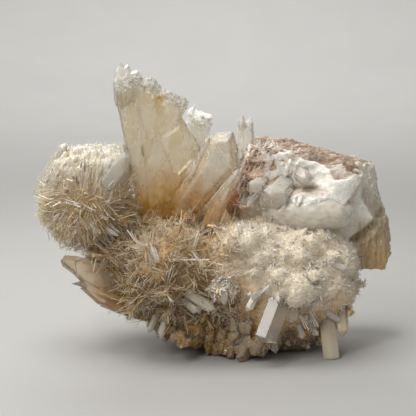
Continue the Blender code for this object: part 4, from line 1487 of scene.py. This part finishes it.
class QUARTZ_OT_blades(bpy.types.Operator):
    """Grow the flat blades at the lower left, the front point and the right foot"""

    bl_idname = "quartz.blades"
    bl_label = "Blades and points"

    def execute(self, context):
        for name, shapes, finish, node, bevel in (
            ("upper_blade_slab", slabs(UPPER_BLADE_SLABS), "blade_quartz", "upper_blade", 0.12),
            ("middle_blade_slab", slabs(MIDDLE_BLADE_SLABS), "blade_quartz", "middle_blade", 0.12),
            ("lower_blade_slab", slabs(LOWER_BLADE_SLABS), "blade_quartz", "lower_blade", 0.12),
            (
                "front_point", prisms(FRONT_POINT_PRISMS, SEED + 8),
                "point_quartz", "front_point_crystal", 0.12,
            ),
            (
                "right_foot", cut_level(prisms(RIGHT_FOOT_PRISMS, SEED + 9)),
                "foot_quartz", "right_foot_crystal", 0.3,
            ),
        ):
            new_crystal(name, shapes, finish, "clear_quartz", node, bevel=bevel)
        return {"FINISHED"}


class QUARTZ_OT_sheaf(bpy.types.Operator):
    """Grow the rounded sheaf of needles"""

    bl_idname = "quartz.sheaf"
    bl_label = "Needle sheaf"

    def execute(self, context):
        rng = random.Random(SEED + 3)
        core = sheaf_mass()
        flank = front_lump(FLANK_CENTRE, FLANK_RADII * 0.9, grain=2.0, height=0.08)
        flank.normal_update()
        grounds = [Ground(item, obstacle(["tall_crystal"]), 0.3, rng) for item in (core, flank)]
        haze = fuzz(grounds[0], None, TRIES["sheaf_fuzz"], rng, top=102)
        needles = sheaf_needles(grounds, rng)
        columns = sheaf_columns(grounds[0], rng)
        bright = bright_needles(SHEAF_GLINT_NEEDLES, BVHTree.FromBMesh(core), rng)
        stone = milky_material("sheaf_core_quartz", SHEAF_FLAWS)
        new_piece("sheaf_core", as_mesh("sheaf_core", core), stone, "needle_quartz", "left_needle_sheaf")
        new_piece("sheaf_flank", as_mesh("sheaf_flank", flank), stone, "needle_quartz")
        grow(needles, LONG, "sheaf_needles", "sheaf_needle_quartz", "needle_quartz")
        grow(haze, FINE, "sheaf_fuzz", "sheaf_fuzz_quartz", "needle_quartz")
        grow(columns, LONG, "sheaf_columns", "column_quartz", "needle_quartz")
        grow(bright, LONG[:2], "sheaf_bright_needles", "bright_needle_quartz", "needle_quartz")
        for number, values in enumerate(SHEAF_SLABS, 1):
            shapes = slabs([values])
            new_crystal(f"sheaf_plate_{number}", shapes, "sheaf_plate_quartz", "needle_quartz", bevel=0.25)
        return {"FINISHED"}


class QUARTZ_OT_bed(bpy.types.Operator):
    """Grow the needle bed with its needles, points, stubs, pale crystals, white clusters and lumps"""

    bl_idname = "quartz.bed"
    bl_label = "Needle bed"

    def execute(self, context):
        rng = random.Random(SEED + 4)
        bm = even_copy("needle_bed", facet=1.3, rounds=30)
        hummocks(bm)
        others = obstacle([node for node in frame["nodes"] if node != "needle_bed"])
        ground = Ground(bm, others, 1.6, rng)
        grow(bed_needles(ground, others, rng), LONG, "bed_needles", "bed_needle_quartz", "needle_quartz")
        grow(bed_points(ground, others, rng), SPIKY, "bed_points", "bed_point_quartz", "needle_quartz")
        for name, finish, ends in (
            ("left_bed_fuzz", "bed_fuzz_quartz", {"high": 4}),
            ("right_bed_fuzz", "bed_point_quartz", {"low": 4}),
        ):
            haze = fuzz(ground, others, TRIES[name], rng, bottom=24, **ends)
            grow(haze, FINE, name, finish, "needle_quartz")
        grow(bed_stubs(ground, others, rng), STUBBY, "bed_stubs", "stub_quartz", "needle_quartz")
        druse(bm, spacing=3.0, height=1.3, sink=0.3)
        surface = BVHTree.FromBMesh(bm)
        bright = bright_needles(GLINT_NEEDLES, surface, rng)
        grow(bright, LONG[:2], "bright_needles", "bright_needle_quartz", "needle_quartz")
        stone = core_material("bed_core_quartz", srgb(230, 218, 196), stain=1.6)
        new_piece("bed_core", as_mesh("bed_core", bm), stone, "needle_quartz", "needle_bed")
        shapes = crystals_on(surface, PALE_CRYSTALS)
        new_crystal("pale_crystals", shapes, "pale_crystal_quartz", "clear_quartz", bevel=0.15)
        clusters = clusters_on(surface, WHITE_CLUSTERS, rng)
        grow(clusters, STUBBY, "white_clusters", "cluster_quartz", "clear_quartz")
        lumps = as_mesh("foot_lumps", lumps_on(surface, FOOT_LUMPS))
        new_piece("foot_lumps", lumps, milky_material("foot_lump_quartz"), "needle_quartz")
        return {"FINISHED"}


class QUARTZ_OT_stage(bpy.types.Operator):
    """Lay the floor and set the lights and the camera"""

    bl_idname = "quartz.stage"
    bl_label = "Stage"

    def execute(self, context):
        lay_floor()
        set_lights()
        set_camera()
        return {"FINISHED"}


def lay_floor():
    """A plain sheet that runs from the floor up into a far backdrop, painted paler as it goes back where
    less light reaches it.
    """
    bm = bmesh.new()
    bmesh.ops.create_grid(bm, x_segments=2, y_segments=160, size=1.0)
    for vertex in bm.verts:
        run = (vertex.co.y + 1) * SHEET_HALF_LENGTH
        bend = min(max(run - BEND_START, 0.0) / (BEND_END - BEND_START), 1.0) * math.pi / 2
        vertex.co.x *= SHEET_HALF_WIDTH
        vertex.co.y = SHEET_FRONT + min(run, BEND_START) + BEND_RADIUS * math.sin(bend)
        vertex.co.z = BEND_RADIUS * (1 - math.cos(bend)) + max(run - BEND_END, 0.0) * 1.5
        vertex.co.z -= 0.0002  # just under the cluster
    mesh = as_mesh("floor", bm)
    material, tree, shader = new_material("floor_paper", 0.8)
    place = tree.add("ShaderNodeTexCoord").outputs["Object"]
    # Painted light: the sheet turns paler towards the back, making up for the lamp light that falls off
    # there.
    back = tree.ramp(tree.add("ShaderNodeSeparateXYZ", None, i0=place).outputs["Y"], 0.4, 1.4)
    plain = tree.mix(back, colour("floor"), srgb(212, 211, 209))
    mottle = tree.times(tree.noise(place, 14.0, 4.0), 0.15)
    tree.feed(shader.inputs["Base Color"], tree.mix(mottle, plain, srgb(140, 139, 137)))
    mesh.materials.append(material)
    floor = linked("floor", mesh)
    shade_smooth(floor)


def add_light(name, place, across, power, tint, target, spread):
    data = bpy.data.lights.new(name, "AREA")
    data.shape = "DISK"
    data.size = across
    data.energy = power
    data.spread = math.radians(spread)
    data.color = tint
    light = linked(name, data)
    light.location = place
    light.rotation_euler = (Vector(target) - Vector(place)).to_track_quat("-Z", "Y").to_euler()


def set_lights():
    """Soft light from above and from the front left, weak light from behind, and a lit backdrop."""
    world = bpy.data.worlds.new("studio")
    world.use_nodes = True
    world.node_tree.nodes["Background"].inputs["Color"].default_value = srgb(240, 238, 233)
    world.node_tree.nodes["Background"].inputs["Strength"].default_value = 0.38
    bpy.context.scene.world = world
    for values in LIGHTS:
        add_light(*values)
    scene = bpy.context.scene
    scene.view_settings.view_transform = "Standard"
    scene.cycles.max_bounces = 18
    scene.cycles.transmission_bounces = 18
    scene.cycles.glossy_bounces = 8
    scene.cycles.diffuse_bounces = 10


def set_camera():
    data = bpy.data.cameras.new("camera")
    data.lens = VIEW_LENS
    data.sensor_width = 36
    data.clip_start, data.clip_end = 0.01, 20
    camera = linked("camera", data)
    rise = math.radians(VIEW_RISE)
    back = Vector((0, -math.cos(rise), math.sin(rise)))
    camera.location = (VIEW_TARGET + back * VIEW_DISTANCE) * MM
    camera.rotation_euler = (-back).to_track_quat("-Z", "Y").to_euler()
    bpy.context.scene.camera = camera


OPERATORS = (
    QUARTZ_OT_stage,
    QUARTZ_OT_block,
    QUARTZ_OT_lumps,
    QUARTZ_OT_tall,
    QUARTZ_OT_companion,
    QUARTZ_OT_leaning,
    QUARTZ_OT_blades,
    QUARTZ_OT_sheaf,
    QUARTZ_OT_bed,
)


class QUARTZ_PT_panel(bpy.types.Panel):
    """Lists the cluster's settings and pieces"""

    bl_label = "Quartz cluster"
    bl_space_type = "VIEW_3D"
    bl_region_type = "UI"
    bl_category = "Quartz"

    def draw(self, context):
        for group in (context.scene.quartz_sizes, context.scene.quartz_colours):
            box = self.layout.box()
            for name in group.__annotations__:
                box.prop(group, name)
        for operator in OPERATORS:
            self.layout.operator(operator.bl_idname)


CLASSES = (ClusterSizes, ClusterColours, *OPERATORS, QUARTZ_PT_panel)


def register():
    for item in CLASSES:
        bpy.utils.register_class(item)
    bpy.types.Scene.quartz_sizes = bpy.props.PointerProperty(type=ClusterSizes)
    bpy.types.Scene.quartz_colours = bpy.props.PointerProperty(type=ClusterColours)


def unregister():
    del bpy.types.Scene.quartz_colours
    del bpy.types.Scene.quartz_sizes
    for item in reversed(CLASSES):
        bpy.utils.unregister_class(item)


def main():
    register()
    for operator in OPERATORS:
        getattr(bpy.ops.quartz, operator.bl_idname.split(".")[1])()


if __name__ == "__main__":
    main()
